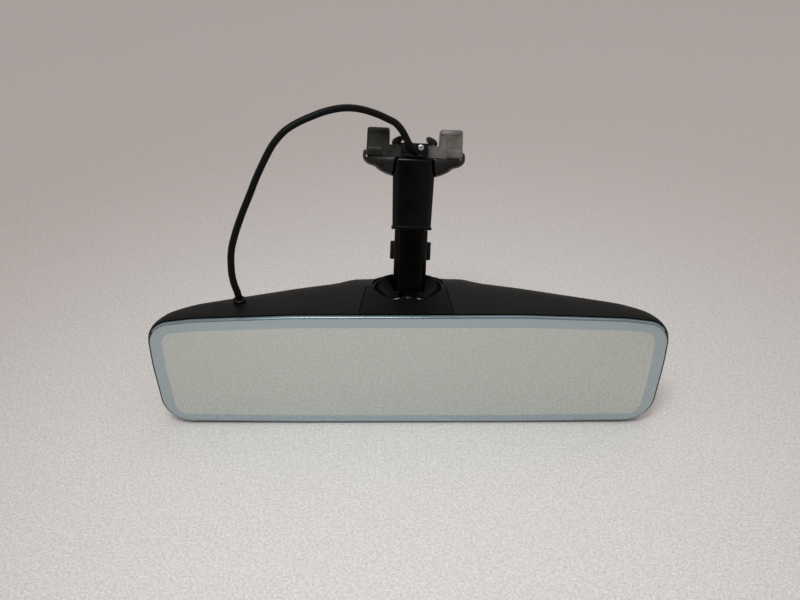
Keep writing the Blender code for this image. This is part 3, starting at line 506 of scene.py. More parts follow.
def dark_cast():
    nodes = Nodes("dark_cast")
    nodes.colour(nodes.tinted(nodes.noise(140, 4), (0.0025, 0.0025, 0.0018), (0.0115, 0.0105, 0.008)))
    nodes.roughness(nodes.ranged(nodes.noise(350, 4), 0.32, 0.5))
    nodes.bump(nodes.noise(1100, 3), 0.00005)
    nodes.set(Metallic=0.2, Specular_IOR_Level=0.3)
    return nodes.material


def steel():
    """Zinc-plated steel with fine brushing."""
    nodes = Nodes("steel")
    streaks = nodes.noise(220, 4, 0.6, nodes.stretched((12.0, 12.0, 1.0)))
    nodes.colour(nodes.tinted(streaks, (0.46, 0.455, 0.44), (0.62, 0.62, 0.61)))
    nodes.roughness(nodes.ranged(streaks, 0.2, 0.36))
    nodes.bump(streaks, 0.00002)
    nodes.set(Metallic=1.0)
    return nodes.material


def spring_steel():
    nodes = Nodes("spring_steel")
    nodes.colour(nodes.tinted(nodes.noise(250, 4), (0.004, 0.004, 0.0036), (0.014, 0.013, 0.012)))
    nodes.roughness(nodes.ranged(nodes.noise(300, 3), 0.22, 0.38))
    nodes.bump(nodes.noise(800, 3), 0.00002)
    nodes.set(Metallic=0.5, Specular_IOR_Level=0.3)
    return nodes.material


def copper():
    nodes = Nodes("copper")
    nodes.colour(nodes.tinted(nodes.noise(300, 4), (0.62, 0.33, 0.19), (0.80, 0.47, 0.30)))
    nodes.roughness(nodes.ranged(nodes.noise(200, 3), 0.22, 0.4))
    nodes.set(Metallic=1.0)
    return nodes.material


def board():
    """Green solder mask with paler tracks under it."""
    nodes = Nodes("board")
    tracks = nodes.add("TexBrick", offset=0.37)
    tracks.inputs["Scale"].default_value = 160
    tracks.inputs["Mortar Size"].default_value = 0.06
    tracks.inputs["Color1"].default_value = (0.012, 0.10, 0.045, 1)
    tracks.inputs["Color2"].default_value = (0.016, 0.13, 0.06, 1)
    tracks.inputs["Mortar"].default_value = (0.03, 0.22, 0.10, 1)
    turned_up = nodes.add("Mapping")
    turned_up.inputs["Rotation"].default_value = (math.radians(90), 0, 0)
    nodes.join(nodes.place, turned_up.inputs["Vector"])
    nodes.join(turned_up.outputs["Vector"], tracks.inputs["Vector"])
    nodes.colour(tracks.outputs["Color"])
    nodes.roughness(nodes.ranged(nodes.noise(300, 3), 0.3, 0.45))
    nodes.bump(tracks.outputs["Fac"], 0.00004)
    return nodes.material


def floor_paint():
    """Pale board with a fine pebbled grain."""
    nodes = Nodes("floor")
    dark, light = (0.52, 0.485, 0.46), (0.76, 0.72, 0.685)
    nodes.colour(nodes.tinted(nodes.noise(900, 3, 0.6), dark, light, 0.3, 0.72))
    nodes.roughness(nodes.ranged(nodes.noise(300, 3), 0.5, 0.7))
    nodes.bump(nodes.noise(750, 4, 0.6), 0.0004, 0.5)
    return nodes.material


LOOKS = {
    "textured_black": textured_black(),
    "gloss_black": gloss_black(),
    "inner_plastic": inner_plastic(),
    "nylon": nylon(),
    "black_rubber": black_rubber(),
    "foam": foam(),
    "mirror": smudged_mirror("mirror", (0.59, 0.62, 0.58)),
    "clear_glass": clear("clear_glass", (0.75, 0.82, 0.80), 0.02),
    "cell_seal": cell_seal(),
    "die_cast": die_cast(),
    "dark_cast": dark_cast(),
    "steel": steel(),
    "spring_steel": spring_steel(),
    "copper": copper(),
    "board": board(),
    "clear_plastic": clear("clear_plastic", (0.85, 0.86, 0.86), 0.08),
}
BAND_LOOK = smudged_mirror("mirror_band", (0.43, 0.50, 0.525))
EDGE_LOOK = polished_edge()
SHADED_EDGE_LOOK = shaded_edge()
DISH_LOOK = dish_black()
COVER_LOOK = painted_shade_cover_black()
SLOT_OF = {row["node"]: row["material_slot"] for row in frame["record"]["subparts"]}


# ------------------------------------------------------------------------------------------ mesh helpers


def loft(rings, closed=False, caps=True):
    """A body through rings of equal length, capped at its ends, or closed from last ring to first."""
    body = bmesh.new()
    rows = [[body.verts.new(point) for point in ring] for ring in rings]
    count = len(rows[0])
    pairs = list(zip(rows, rows[1:]))
    if closed:
        pairs.append((rows[-1], rows[0]))
    for low, high in pairs:
        for i in range(count):
            j = (i + 1) % count
            body.faces.new((low[i], low[j], high[j], high[i]))
    if caps and not closed:
        body.faces.new(rows[0])
        body.faces.new(rows[-1])
    bmesh.ops.recalc_face_normals(body, faces=body.faces)
    return body


def circle(radius, height, sides=64):
    angles = [2 * math.pi * k / sides for k in range(sides)]
    return [Vector((radius * math.cos(a), radius * math.sin(a), height)) for a in angles]


def turned(profile, sides=64, closed=False):
    """A body turned about Z from (radius, height) points."""
    return loft([circle(radius, height, sides) for radius, height in profile], closed)


def eased(profile, radius, steps=4):
    """A profile of (radius, height) points whose inner corners are rounded off."""
    points = [Vector(point) for point in profile]
    smooth = [points[0]]
    for before, corner, after in zip(points, points[1:], points[2:]):
        back, on = before - corner, after - corner
        reach = min(radius, back.length * 0.45, on.length * 0.45)
        start, stop = corner + back.normalized() * reach, corner + on.normalized() * reach
        for k in range(steps + 1):
            t = k / steps
            smooth.append(start * (1 - t) ** 2 + corner * 2 * t * (1 - t) + stop * t**2)
    smooth.append(points[-1])
    return [tuple(point) for point in smooth]


def box(x, y, z):
    corners = ((x[0], y[0]), (x[1], y[0]), (x[1], y[1]), (x[0], y[1]))
    return loft([[Vector((a, b, height)) for a, b in corners] for height in z])


def add(name, body, place, looks=None, sharp=35):
    """An object made of a body that is given in millimetres in one of the frames."""
    body.transform(Matrix.Scale(MM, 4) @ place)
    mesh = bpy.data.meshes.new(name)
    body.to_mesh(mesh)
    body.free()
    for look in looks or ():
        mesh.materials.append(look)
    piece = bpy.data.objects.new(name, mesh)
    bpy.context.scene.collection.objects.link(piece)
    smooth(piece, sharp)
    return piece


def smooth(piece, sharp=35):
    piece.data.shade_smooth()
    piece.data.set_sharp_from_angle(angle=math.radians(sharp))


def flattened(piece, sharp=35):
    """Applies a piece's modifiers."""
    bpy.context.view_layer.update()
    graph = bpy.context.evaluated_depsgraph_get()
    mesh = bpy.data.meshes.new_from_object(piece.evaluated_get(graph))
    mesh.name = piece.name
    piece.modifiers.clear()
    piece.data = mesh
    smooth(piece, sharp)
    return piece


def combine(piece, *tools):
    """Joins or cuts a piece with (operation, helper) pairs, whose helpers are then deleted."""
    for operation, helper in tools:
        modifier = piece.modifiers.new("shape", "BOOLEAN")
        modifier.operation = operation
        modifier.object = helper
    flattened(piece)
    for _, helper in tools:
        bpy.data.objects.remove(helper)
    return piece


def soften(piece, width, segments=3, angle=35, sharp=35):
    """Rounds a piece's edges."""
    bevel = piece.modifiers.new("edges", "BEVEL")
    bevel.width = width * MM
    bevel.segments = segments
    bevel.limit_method = "ANGLE"
    bevel.angle_limit = math.radians(angle)
    bevel.harden_normals = False
    return flattened(piece, sharp)


def stands_for(piece, body, *nodes):
    """Rides the piece on a body in place of CAD nodes, and gives it their slot's material when it has none."""
    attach(piece, body)
    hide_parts(*nodes)
    if not piece.data.materials:
        piece.data.materials.append(LOOKS[SLOT_OF[nodes[0]]])
    return piece


def finer(node, body, width, segments=3, angle=35):
    """A copy of a CAD node with its edges rounded off."""
    copy = bpy.data.objects.new(node + "_fine", frame["nodes"][node].data.copy())
    copy.data.materials.clear()
    bpy.context.scene.collection.objects.link(copy)
    shape = bmesh.new()
    shape.from_mesh(copy.data)
    bmesh.ops.remove_doubles(shape, verts=shape.verts, dist=0.000001)
    bmesh.ops.dissolve_limit(shape, angle_limit=math.radians(1), verts=shape.verts, edges=shape.edges)
    shape.to_mesh(copy.data)
    shape.free()
    soften(copy, width, segments, angle)
    return stands_for(copy, body, node)


def between(points, x):
    """Straight-line interpolation through (x, value) points, held level past both ends."""
    places, values = zip(*points)
    return np.interp(x, places, values)


def rounded_outline(corners, arc_step=math.radians(5), longest=3.0):
    """A closed outline through (x, z, radius) corners, with arcs there and straight sides in steps."""
    outline = []
    count = len(corners)
    ends = []
    for i, (x, z, radius) in enumerate(corners):
        corner = Vector((x, z))
        before = (Vector(corners[i - 1][:2]) - corner).normalized()
        after = (Vector(corners[(i + 1) % count][:2]) - corner).normalized()
        half = before.angle(after) / 2
        start = corner + before * (radius / math.tan(half))
        centre = corner + (before + after).normalized() * (radius / math.sin(half))
        sweep = math.pi - 2 * half
        steps = max(2, math.ceil(sweep / arc_step))
        turn = -sweep if before.cross(after) > 0 else sweep
        arm = start - centre
        ends.append([centre + Matrix.Rotation(turn * k / steps, 2) @ arm for k in range(steps + 1)])
    for i, arc in enumerate(ends):
        outline += arc
        gap = ends[(i + 1) % count][0] - arc[-1]
        pieces = max(1, math.ceil(gap.length / longest))
        outline += [arc[-1] + gap * k / pieces for k in range(1, pieces)]
    return outline


def mirrored(corners):
    """Corners given on the right, followed by their mirror images."""
    return (*corners, *[(-x, z, radius) for x, z, radius in reversed(corners)])


def inset(outline, distance):
    """The same outline moved inwards all round, or outwards when the distance is negative."""
    moved = []
    count = len(outline)
    area = sum(outline[i - 1].cross(outline[i]) for i in range(count))
    side = math.copysign(1.0, area)
    for i, point in enumerate(outline):
        along = (outline[(i + 1) % count] - point).normalized() + (point - outline[i - 1]).normalized()
        along.normalize()
        moved.append(point + side * distance * Vector((-along.y, along.x)))
    return moved


def upright(outline, depth):
    return [Vector((point.x, depth, point.y)) for point in outline]


def smooth_route(points, steps=12):
    """A smooth curve through a route's own points."""
    places = [Vector(point) for point in points]
    padded = [2 * places[0] - places[1], *places, 2 * places[-1] - places[-2]]
    fine = []
    for before, start, stop, after in zip(padded, padded[1:], padded[2:], padded[3:]):
        slope = (stop - before) / 2
        bend = before - 2.5 * start + 2 * stop - after / 2
        twist = (3 * start - before - 3 * stop + after) / 2
        for t in [k / steps for k in range(steps)]:
            fine.append(start + slope * t + bend * t**2 + twist * t**3)
    fine.append(places[-1])
    return fine


def tube(route, radius, sides=20):
    """A tube along a route, whose section is carried along without twisting."""
    rings = []
    across = None
    for i, point in enumerate(route):
        along = (route[min(i + 1, len(route) - 1)] - route[max(i - 1, 0)]).normalized()
        across = along.orthogonal() if across is None else across - along * across.dot(along)
        across.normalize()
        side = along.cross(across)
        angles = [2 * math.pi * k / sides for k in range(sides)]
        rings.append([point + (across * math.cos(a) + side * math.sin(a)) * radius for a in angles])
    return loft(rings)


# -------------------------------------------------------------------------------------------------- lead


def make_lead():
    """The lead in three stretches along one smooth route, split at LEAD_SPLITS, in place of the CAD's three
    stretches.
    """
    whole = smooth_route(LEAD_ROUTE)
    first, second = (12 * split for split in LEAD_SPLITS)
    bounds = ((0, first), (first, second), (second, len(whole) - 1))
    pairs = (("mount", "ball_liner"), ("ball_liner", "socket_cup"), ("socket_cup", "head"))
    names = ("lead_run_mount", "lead_run_middle", "lead_run_housing")
    for (start, stop), (body, beyond), node in zip(bounds, pairs, names):
        route = whole[start : stop + 1]
        piece = add(node + "_fine", tube(route, LEAD_RADIUS), UNIT, [LOOKS["black_rubber"]])
        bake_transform(piece)
        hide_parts(node)


# ------------------------------------------------------------------------------------------- mirror head


def nearest_on(outline, points):
    """For each point, the nearest place on a closed outline."""
    starts = np.array([tuple(p) for p in outline])
    ways = np.roll(starts, -1, axis=0) - starts
    found = []
    for point in points:
        offset = np.array(tuple(point)) - starts
        share = np.clip((offset * ways).sum(1) / (ways**2).sum(1), 0, 1)
        places = starts + ways * share[:, None]
        best = np.argmin(((places - np.array(tuple(point))) ** 2).sum(1))
        found.append(Vector(places[best].tolist()))
    return found


def make_glass():
    """The front glass: a flat mirror, its even band, and a polished rim that rounds over to the back."""
    rim = rounded_outline(mirrored(GLASS_CORNERS))
    inner = nearest_on(rounded_outline(mirrored(MIRROR_CORNERS)), rim)
    rings = [upright(inner, 0.0)]
    for k in range(6):
        angle = math.radians(18 * k)
        rings.append(upright(inset(rim, 0.9 - 0.9 * math.sin(angle)), 0.75 - 0.75 * math.cos(angle)))
    rings += [upright(rim, GLASS_THICKNESS - 0.4), upright(inset(rim, 0.4), GLASS_THICKNESS)]
    looks = [LOOKS["mirror"], BAND_LOOK, EDGE_LOOK, SHADED_EDGE_LOOK]
    piece = add("front_glass_fine", loft(rings), HEAD, looks, 50)
    for face in piece.data.polygons:
        if face.normal.y < -0.999:
            face.material_index = 0 if len(face.vertices) > 4 else 1
        else:
            sideways = abs(face.normal.x) > 0.75 * math.hypot(face.normal.x, face.normal.z)
            face.material_index = 3 if sideways or face.normal.y > 0.5 else 2
    return stands_for(piece, "head", "front_glass")


def back_depth(x, z, wall):
    """Distance of the housing's back behind the glass face, less a wall. Takes and gives arrays."""
    shifts = np.linspace(-2.5, 2.5, 11)
    top = sum(between(TOP_DEPTH, np.abs(x + shift)) for shift in shifts) / len(shifts)
    drop = np.maximum(0.0, (BACK_FALL_FROM - z) / (GLASS_HEIGHT + BACK_FALL_FROM))
    return HOUSING_FRONT + (top - HOUSING_FRONT) * (1 - between(BACK_FALL, np.abs(x)) * drop**1.6) - wall


def boss_reach(starts, ways):
    """How far along each ray the boss round the socket ends, or 0 where the ray misses it."""
    to_opening = np.array(OPENING.inverted() @ HEAD)
    steps = np.linspace(0.0, 75.0, 301)
    points = starts[:, None, :] + ways[:, None, :] * steps[None, :, None]
    local = points @ to_opening[:3, :3].T + to_opening[:3, 3]
    radius = np.hypot(local[..., 0], local[..., 1])
    heights = [s for _, s in reversed(BOSS_PROFILE)]
    radii = [r for r, _ in reversed(BOSS_PROFILE)]
    side = np.interp(local[..., 2], heights, radii, left=-5.0) - radius
    top = -local[..., 2]
    rounding = 1.2
    share = np.clip(0.5 + 0.5 * (top - side) / rounding, 0, 1)
    inside = top * (1 - share) + side * share - rounding * share * (1 - share)
    found = np.zeros(len(starts))
    for k in range(len(steps) - 1):
        here, beyond = inside[:, k], inside[:, k + 1]
        leaving = (here > 0) & (beyond <= 0)
        safe = np.where(leaving, here - beyond, 1.0)
        found = np.where(leaving, steps[k] + (steps[k + 1] - steps[k]) * here / safe, found)
    return found


def housing_volume(wall, front, steps):
    """The housing's outside as a solid, or the space inside it when a wall is given."""
    rim = inset(rounded_outline(mirrored(GLASS_CORNERS)), wall - HOUSING_PROUD)
    x = np.array([point.x for point in rim])
    z = np.array([point.y for point in rim])
    spine_x = np.clip(x, -SPINE_HALF_LENGTH, SPINE_HALF_LENGTH)
    starts = np.stack([spine_x, np.full_like(x, HOUSING_FRONT), np.full_like(x, SPINE_Z)], 1)
    lip = 0.0 if wall else 0.35
    rings = [upright(inset(rim, lip), front)]
    angles = [(0.004 + 0.986 * (k / (steps - 1)) ** 1.15) * math.pi / 2 for k in range(steps)]
    reaches = [math.cos(angle) ** (2 / SQUARENESS) for angle in angles] + list(SPINE_REACHES)
    for reach in reaches:
        rise = (1 - reach**SQUARENESS) ** (1 / SQUARENESS)
        px = spine_x + (x - spine_x) * reach
        pz = SPINE_Z + (z - SPINE_Z) * reach
        depth = HOUSING_FRONT + (back_depth(px, pz, wall) - HOUSING_FRONT) * rise
        points = np.stack([px, depth, pz], 1)
        if not wall:
            ways = points - starts
            far = np.linalg.norm(ways, axis=1)
            boss = boss_reach(starts, ways / far[:, None])
            share = np.clip(0.5 + 0.5 * (boss - far) / BOSS_BLEND, 0, 1)
            grown = far + (boss - far) * share + BOSS_BLEND * share * (1 - share)
            points = starts + ways * (grown / far)[:, None]
        rings.append([Vector(point) for point in points])
    return loft(rings)


def cover_block(clear):
    (front_half, front), (back_half, back) = COVER_CORNERS
    front_half, back_half, back = front_half - clear, back_half - clear, back - clear
    ring = ((-front_half, front), (front_half, front), (back_half, back), (-back_half, back))
    return loft([[Vector((COVER_X + x, y, z)) for x, y in ring] for z in (-6.0 + clear, 12.0)])


def facing_back(x, z):
    return HEAD @ Matrix.Translation((x, 0.0, z)) @ Matrix.Rotation(math.radians(-90), 4, "X")


def make_housing():
    """The rear shell and the panel let into its top, cut from one hollow shape."""
    look = [LOOKS["textured_black"]]
    steps = 34
    shell = add("rear_housing_fine", housing_volume(0.0, HOUSING_FRONT, steps), HEAD, look)
    hollow = add("hollow", housing_volume(HOUSING_WALL, HOUSING_FRONT - 6.5, 14), HEAD)
    bore_profile = [(OPENING_RADIUS, 8.0)]
    bore_profile += [(radius - 1.7, s + (0.6 if s else 0.0)) for radius, s in BOSS_PROFILE[:-1]]
    bore = add("bore", turned(bore_profile, 96), OPENING)
    combine(shell, ("DIFFERENCE", hollow), ("DIFFERENCE", bore))
    cover = bpy.data.objects.new("centre_cover_fine", shell.data.copy())
    bpy.context.scene.collection.objects.link(cover)
    combine(cover, ("INTERSECT", add("cover_shape", cover_block(GAP + 0.05), HEAD)))
    cover.data.materials.clear()
    cover.data.materials.append(COVER_LOOK)
    x, y = LEAD_HOLE
    lead_hole = add("lead_hole", turned([(3.0, -6.0), (3.0, 6.0)]), HEAD @ Matrix.Translation((x, y, 0)))
    window_radius = LENS_RADIUS + GAP
    window = add("window", turned([(window_radius, 5.0), (window_radius, 60.0)]), facing_back(*SENSOR))
    cover_room = add("cover_room", cover_block(0.0), HEAD)
    combine(shell, ("DIFFERENCE", cover_room), ("DIFFERENCE", lead_hole), ("DIFFERENCE", window))
    stands_for(shell, "head", "rear_housing")
    stands_for(cover, "head", "centre_cover")


def make_socket_dish():
    """The dished ring round the ball, with a lip rolled over the edge of the opening."""
    rim = BALL.inverted() @ OPENING
    lower_edge = Matrix.Translation((0.0, 0.0, 6.9))
    curve = [(k / 12) for k in range(13)]
    inside = [(share, 17.1 - 4.8 * share**1.5) for share in curve]
    lip = [(0.0, 17.5, 0.25), (0.0, 17.8, 0.3), (0.0, 18.1, 0.2), (0.0, 18.15, -0.05), (0.0, 17.65, -0.12)]
    outside = [(share, radius + 0.6) for share, radius in reversed(inside[1:])]
    rings = []
    for share, radius, height in ((0.0, 17.1, -0.1), *lip):
        rings.append([rim @ point for point in circle(radius, height, 96)])
    for share, radius in reversed(outside):
        place = rim.lerp(lower_edge, share)
        rings.append([place @ point for point in circle(radius, -0.2, 96)])
    for share, radius in reversed(inside[1:]):
        place = rim.lerp(lower_edge, share)
        rings.append([place @ point for point in circle(radius, -0.2, 96)])
    piece = add("socket_bezel_fine", loft(rings, closed=True), BALL, [DISH_LOOK], 50)
    return stands_for(piece, "head", "socket_bezel")


def make_grommet():
    x, y = LEAD_HOLE
    hole = LEAD_RADIUS + 0.05
    ring = [(hole, -5.2), (2.7, -5.2), (2.7, 0.35), (3.3, 0.45), (3.3, 0.75), (2.5, 1.35), (hole, 1.5)]
    profile = eased([*ring, (hole, -5.2)], 0.25)[:-1]
    piece = add("lead_grommet_fine", turned(profile, 48, closed=True), HEAD @ Matrix.Translation((x, y, 0)))
    return stands_for(piece, "head", "lead_grommet")


def make_sensor_lens():
    x, z = SENSOR
    outside = float(back_depth(np.array([x]), np.array([z]), 0.0)[0])
    dome = [(LENS_RADIUS * math.cos(a), outside - 0.4 + 1.1 * math.sin(a)) for a in np.linspace(0, 1.45, 9)]
    profile = [(0.3, outside - 3.1), (LENS_RADIUS, outside - 3.1), *dome]
    piece = add("sensor_lens_fine", turned(profile, 48), facing_back(x, z))
    return stands_for(piece, "head", "sensor_lens")


# ------------------------------------------------------------------------------------------------- stalk


def sleeve_size(sizes, s):
    (s0, w0, d0), (s1, w1, d1) = sizes
    share = (s - s0) / (s1 - s0)
    return w0 + (w1 - w0) * share, d0 + (d1 - d0) * share


def chamfered(half_width, half_depth, s, corner, easing=0.5, steps=3):
    """A rectangle with cut corners at height s, whose eight edges are rounded."""
    w, d = half_width, half_depth
    half = ((w, -d + corner), (w, d - corner), (w - corner, d), (corner - w, d))
    corners = [Vector(point) for point in (*half, *[(-x, -y) for x, y in half])]
    ring = []
    for i, corner_point in enumerate(corners):
        before = (corners[i - 1] - corner_point).normalized() * easing
        after = (corners[(i + 1) % 8] - corner_point).normalized() * easing
        for k in range(steps + 1):
            t = k / steps
            place = corner_point + before * (1 - t) ** 2 + after * t**2
            ring.append(Vector((place.x, place.y, s)))
    return ring


def sleeve(sizes, levels, corner):
    """A stalk cover through (height, how much narrower) levels, outside first and then inside."""
    rings = []
    for s, narrower in levels:
        w, d = sleeve_size(sizes, s)
        rings.append(chamfered(w - narrower, d - narrower, s, corner if narrower < SLEEVE_WALL else 1.5))
    return loft(rings, closed=True)


def make_upper_sleeve():
    low, high = UPPER_SLEEVE[0][0], UPPER_SLEEVE[1][0]
    outside = [
        (low, 0.35),
        (low + 0.12, 0.1),
        (low + 0.35, 0.0),
        (low + 1.2, 0.0),
        (low + 1.45, 0.08),
        (low + 1.75, 0.4),
        (low + 1.95, 0.45),
        (high - 1.6, 0.35),
        (high - 0.7, 0.45),
        (high - 0.2, 0.75),
        (high, 1.2),
    ]
    inside = [(high, SLEEVE_WALL + 0.9), (low, SLEEVE_WALL + 0.35)]
    body = sleeve(UPPER_SLEEVE, [*outside, *inside], 2.4)
    piece = add("upper_sleeve_fine", body, STALK, [LOOKS["gloss_black"]], 28)
    return stands_for(piece, "mount", "upper_sleeve")


def make_lower_sleeve():
    """Two shells that meet in a fine seam at the sides."""
    low, high = LOWER_SLEEVE[0][0], LOWER_SLEEVE[1][0]
    outside = [(low, 1.25), (low + 0.4, 0.85), (low + 1.2, 0.3), (low + 2.4, 0.0), (high, 0.0)]
    inside = [(high, SLEEVE_WALL), (low, SLEEVE_WALL + 0.25)]
    slot_s = (TAB_S[0] - GAP, TAB_S[1] + GAP)
    for node, y in (("lower_sleeve_front", (-20, -GAP / 3)), ("lower_sleeve_rear", (GAP / 3, 20))):
        body = sleeve(LOWER_SLEEVE, [*outside, *inside], 2.2)
        piece = add(node + "_fine", body, STALK, [LOOKS["gloss_black"]], 28)
        slots = [box((side - 4, side + 4), (-2.3, 2.3), slot_s) for side in (-9, 9)]
        tools = [("DIFFERENCE", add("slot", slot, STALK)) for slot in slots]
        combine(piece, *tools, ("INTERSECT", add("half", box((-20, 20), y, (low - 5, high + 5)), STALK)))
        smooth(piece, 28)
        stands_for(piece, "mount", node)


def make_latch_tabs():
    for node, side in (("latch_tab_left", -1), ("latch_tab_right", 1)):
        finer(node, "mount", 0.45, 3)


def make_ball_stud():
    """Ball and shank, turned in one piece with a small undercut between them."""
    neck = math.asin(SHANK_RADIUS / BALL_RADIUS)
    angles = np.linspace(math.pi - 0.05, neck + 0.06, 40)
    ball = [(BALL_RADIUS * math.sin(a), BALL_RADIUS * math.cos(a)) for a in angles]
    top = BALL_DEPTH + STUD_LENGTH
    undercut = [(3.7, 8.2), (3.7, 9.2), (SHANK_RADIUS, 10.0)]
    shank = [*undercut, (SHANK_RADIUS, top - 0.8), (SHANK_RADIUS - 0.6, top)]
    place = STALK @ Matrix.Translation((0, 0, -BALL_DEPTH))
    piece = add("ball_stud_fine", turned([*ball, *shank]), place, sharp=40)
    return stands_for(piece, "mount", "ball_stud")


def make_shell(node, body, radii, span):
    """A smooth spherical shell round the ball."""
    (inside, outside), (top, bottom) = radii, [math.radians(a) for a in span]
    outer = [(outside * math.sin(a), outside * math.cos(a)) for a in np.linspace(top, bottom, 20)]
    inner = [(inside * math.sin(a), inside * math.cos(a)) for a in np.linspace(bottom, top, 20)]
    piece = add(node + "_fine", turned([*outer, *inner], closed=True), BALL, sharp=40)
    return stands_for(piece, body, node)


# ------------------------------------------------------------------------------------------------- mount


def rounded_section(x, y, s, radius, steps=4):
    """A rectangle with round corners at height s."""
    middle = Vector(((x[0] + x[1]) / 2, (y[0] + y[1]) / 2))
    half = Vector(((x[1] - x[0]) / 2 - radius, (y[1] - y[0]) / 2 - radius))
    ring = []
    for quarter, (sx, sy) in enumerate(((1, 1), (-1, 1), (-1, -1), (1, -1))):
        for k in range(steps + 1):
            angle = math.pi / 2 * (quarter + k / steps)
            x_out, y_out = radius * math.cos(angle), radius * math.sin(angle)
            place = middle + Vector((sx * half.x + x_out, sy * half.y + y_out))
            ring.append(Vector((place.x, place.y, s)))
    return ring


def lug(side):
    """One upright of the mount: a step across it, a ridge, a fine groove under its top band."""
    levels = (
        (BAR[0], 0.9, 1.1),
        (BAR[0] + 0.5, 0.3, 0.4),
        (65.2, 0.0, 0.0),
        (68.1, 0.0, 0.0),
        (68.5, 0.02, 0.1),
        (68.75, 0.06, 0.5),
        (68.9, 0.1, 0.78),
        (72.0, 0.15, 0.85),
        (75.2, 0.2, 0.8),
        (75.35, 0.4, 1.0),
        (75.6, 0.4, 1.0),
        (75.75, 0.2, 0.85),
        (76.9, 0.25, 0.9),
        (77.6, 0.5, 1.1),
        (STALK_LENGTH, 1.0, 1.5),
    )
    inner, outer = LUG_X
    rings = []
    for s, narrow, shallow in levels:
        x = sorted((side * (inner + narrow), side * (outer - narrow)))
        depth = LUG_HALF_DEPTH - shallow
        rings.append(rounded_section(x, (-depth, depth), s, 0.9))
    return loft(rings)


def make_mount_bracket():
    half = LUG_X[1] - 2.0
    bracket = add("mount_bracket_fine", lug(-1), STALK, [LOOKS["die_cast"]], 30)
    floor_level = (BAR[0] + 0.2, BAR[1])
    bar = loft([rounded_section((-half, half), (-5.8, 5.8), s, 0.8) for s in floor_level])
    rib_s = (BAR[1] - 1, BAR[1] + 0.55)
    rib = [box((side - 0.45, side + 0.45), (-5.2, 5.2), rib_s) for side in (-9.0, 9.0)]
    hole = SHANK_RADIUS + GAP
    room = BLOCK_HALF_WIDTH + GAP
    tools = [("UNION", add("lug", lug(1), STALK)), ("UNION", add("bar", bar, STALK))]
    tools += [("UNION", add("rib", body, STALK)) for body in rib]
    for side in (-1, 1):
        near, far = sorted((side * (LUG_X[0] - 1), side * (LUG_X[0] + 3.8)))
        step = box((near, far), (-LUG_HALF_DEPTH - 1, -LUG_HALF_DEPTH + 1.1), (BAR[0] - 1, 75.2))
        tools.append(("DIFFERENCE", add("step", step, STALK)))
    tools.append(("DIFFERENCE", add("stud_hole", turned([(hole, BAR[0] - 5), (hole, 68.3)]), STALK)))
    pocket = box((-room, room), (BLOCK_Y[0] - 2, BLOCK_Y[1] + GAP), (BAR[0] - 5, BAR[1] + 5))
    tools.append(("DIFFERENCE", add("pocket", pocket, STALK)))
    combine(bracket, *tools)
    smooth(bracket, 30)
    return stands_for(bracket, "mount", "mount_bracket")


def lobe_ring(s, half_width, front, back, squareness=3.0, sides=96):
    ring = []
    for k in range(sides):
        angle = 2 * math.pi * k / sides
        across, along = math.cos(angle), math.sin(angle)
        x = half_width * math.copysign(abs(across) ** (2 / squareness), across)
        reach = back if along > 0 else front
        y = reach * math.copysign(abs(along) ** (2 / squareness), along)
        ring.append(Vector((x, y, s)))
    return ring


def make_bracket_skirt():
    """The dark skirt in two rounded lobes under the lugs."""
    lobes = (
        (55.1, 10.6, 8.0, 11.4),
        (55.5, 12.4, 8.3, 12.0),
        (56.2, 14.3, 8.5, 12.4),
        (57.2, 16.4, 8.6, 12.6),
        (58.4, 18.2, 8.6, 12.6),
        (59.2, 19.0, 8.6, 12.6),
        (59.7, 20.3, 8.6, 12.4),
        (60.4, 22.6, 8.7, 12.2),
        (61.3, 23.9, 8.8, 11.9),
        (62.4, 24.8, 8.8, 11.4),
        (63.5, 25.2, 8.6, 11.0),
        (64.6, 25.3, 8.2, 10.6),
        (65.8, 25.2, 7.8, 10.2),
        (66.7, 25.0, 7.5, 9.9),
        (67.2, 24.7, 7.1, 9.5),
    )
    body = loft([lobe_ring(*row) for row in lobes])
    skirt = add("bracket_skirt_fine", body, STALK, [LOOKS["dark_cast"]], 45)
    half = LUG_X[1] + GAP
    seat = add("seat", box((-half, half), (-20, 20), (BAR[0] - GAP, 90)), STALK)
    rings = []
    for s in (50.0, 80.0):
        w, d = sleeve_size(UPPER_SLEEVE, s)
        rings.append(chamfered(w + GAP, d + GAP, s, 2.4))
    combine(skirt, ("DIFFERENCE", seat), ("DIFFERENCE", add("sleeve_room", loft(rings), STALK)))
    smooth(skirt, 45)
    return stands_for(skirt, "mount", "bracket_skirt")


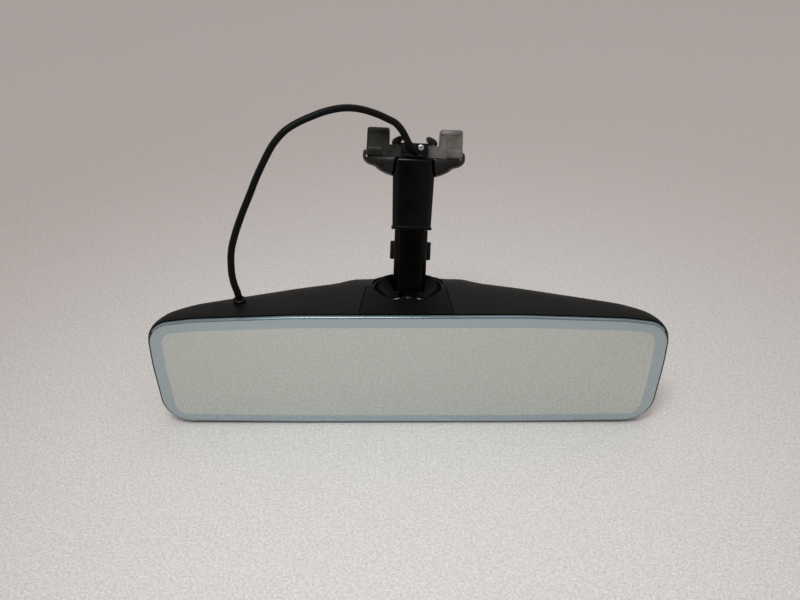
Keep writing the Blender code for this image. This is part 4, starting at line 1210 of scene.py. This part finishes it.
def make_terminal_block():
    """The block under the lead's end, with its screw beside it."""
    body = box((-BLOCK_HALF_WIDTH, BLOCK_HALF_WIDTH), BLOCK_Y, (BAR[0] + GAP, BLOCK_TOP))
    piece = add("terminal_block_fine", body, STALK, [LOOKS["textured_black"]])
    x, s = TERMINAL
    front = STALK @ Matrix.Translation((x, BLOCK_Y[0], s)) @ Matrix.Rotation(math.radians(90), 4, "X")
    start, onward = (Vector(point) for point in LEAD_ROUTE[:2])
    slant = (onward - start).to_track_quat("Z", "Y").to_matrix().to_4x4()
    lead_room = turned([(LEAD_RADIUS + 0.2, -0.2), (LEAD_RADIUS + 0.2, 8.0)])
    notch = box((3.9, 7.5), (BLOCK_Y[0] - 1, BLOCK_Y[0] + 1.6), (BLOCK_TOP - 0.9, BLOCK_TOP + 1))
    groove = box((-8, 8), (BLOCK_Y[0] - 1, BLOCK_Y[0] + 0.45), (65.5, 65.9))
    pocket = turned([(1.3, -3.4), (1.3, 0.2), (1.9, 0.2), (1.9, 3.0)])
    tools = [("DIFFERENCE", add("lead_room", lead_room, Matrix.Translation(start) @ slant))]
    tools += [("DIFFERENCE", add("notch", notch, STALK)), ("DIFFERENCE", add("groove", groove, STALK))]
    tools.append(("DIFFERENCE", add("pocket", pocket, front)))
    combine(piece, *tools)
    soften(piece, 0.2, 2, 50)
    stands_for(piece, "mount", "terminal_block")
    head = [(1.5, GAP), (1.5, 0.9), (1.3, 1.25), (0.9, 1.4), (0.2, 1.4)]
    profile = [(0.9, -3.0), (1.0, -2.8), (1.0, GAP), *head]
    screw = add("terminal_screw_fine", turned(eased(profile, 0.15)), front)
    across = ((-1.0, 1.0), (-0.25, 0.25))
    slots = [add("slot", box(*pair, (0.8, 3.0)), front) for pair in (across, across[::-1])]
    combine(screw, *[("DIFFERENCE", slot) for slot in slots])
    stands_for(screw, "mount", "terminal_screw")


# ----------------------------------------------------------------------------------------------- the rest


def finish_cad_nodes():
    """Gives every CAD node its procedural material, and rounds the edges of two inside."""
    for name, node in frame["nodes"].items():
        node.data.materials.clear()
        node.data.materials.append(LOOKS[SLOT_OF[name]])
    for node in ("seat_bracket", "board_connector"):
        finer(node, "head", 0.3, 2)


def make_floor():
    low = CAD_BOX[0]
    body = bmesh.new()
    bmesh.ops.create_grid(body, x_segments=1, y_segments=1, size=FLOOR_HALF_SIDE)
    body.transform(Matrix.Translation((0, 1.0, low.z - 0.0002)))
    mesh = bpy.data.meshes.new("floor")
    body.to_mesh(mesh)
    body.free()
    mesh.materials.append(floor_paint())
    floor = bpy.data.objects.new("floor", mesh)
    bpy.context.scene.collection.objects.link(floor)


make_camera()
make_lead()
make_surround()
make_light()
make_floor()
finish_cad_nodes()
make_glass()
make_housing()
make_socket_dish()
make_grommet()
make_sensor_lens()
make_upper_sleeve()
make_lower_sleeve()
make_latch_tabs()
make_ball_stud()
make_shell("ball_liner", "ball_liner", (8.8, 9.8), (48, 140))
make_shell("socket_cup", "socket_cup", (10.1, 11.1), (54, 150))
make_mount_bracket()
make_bracket_skirt()
finer("retaining_spring", "mount", 0.4)
make_terminal_block()
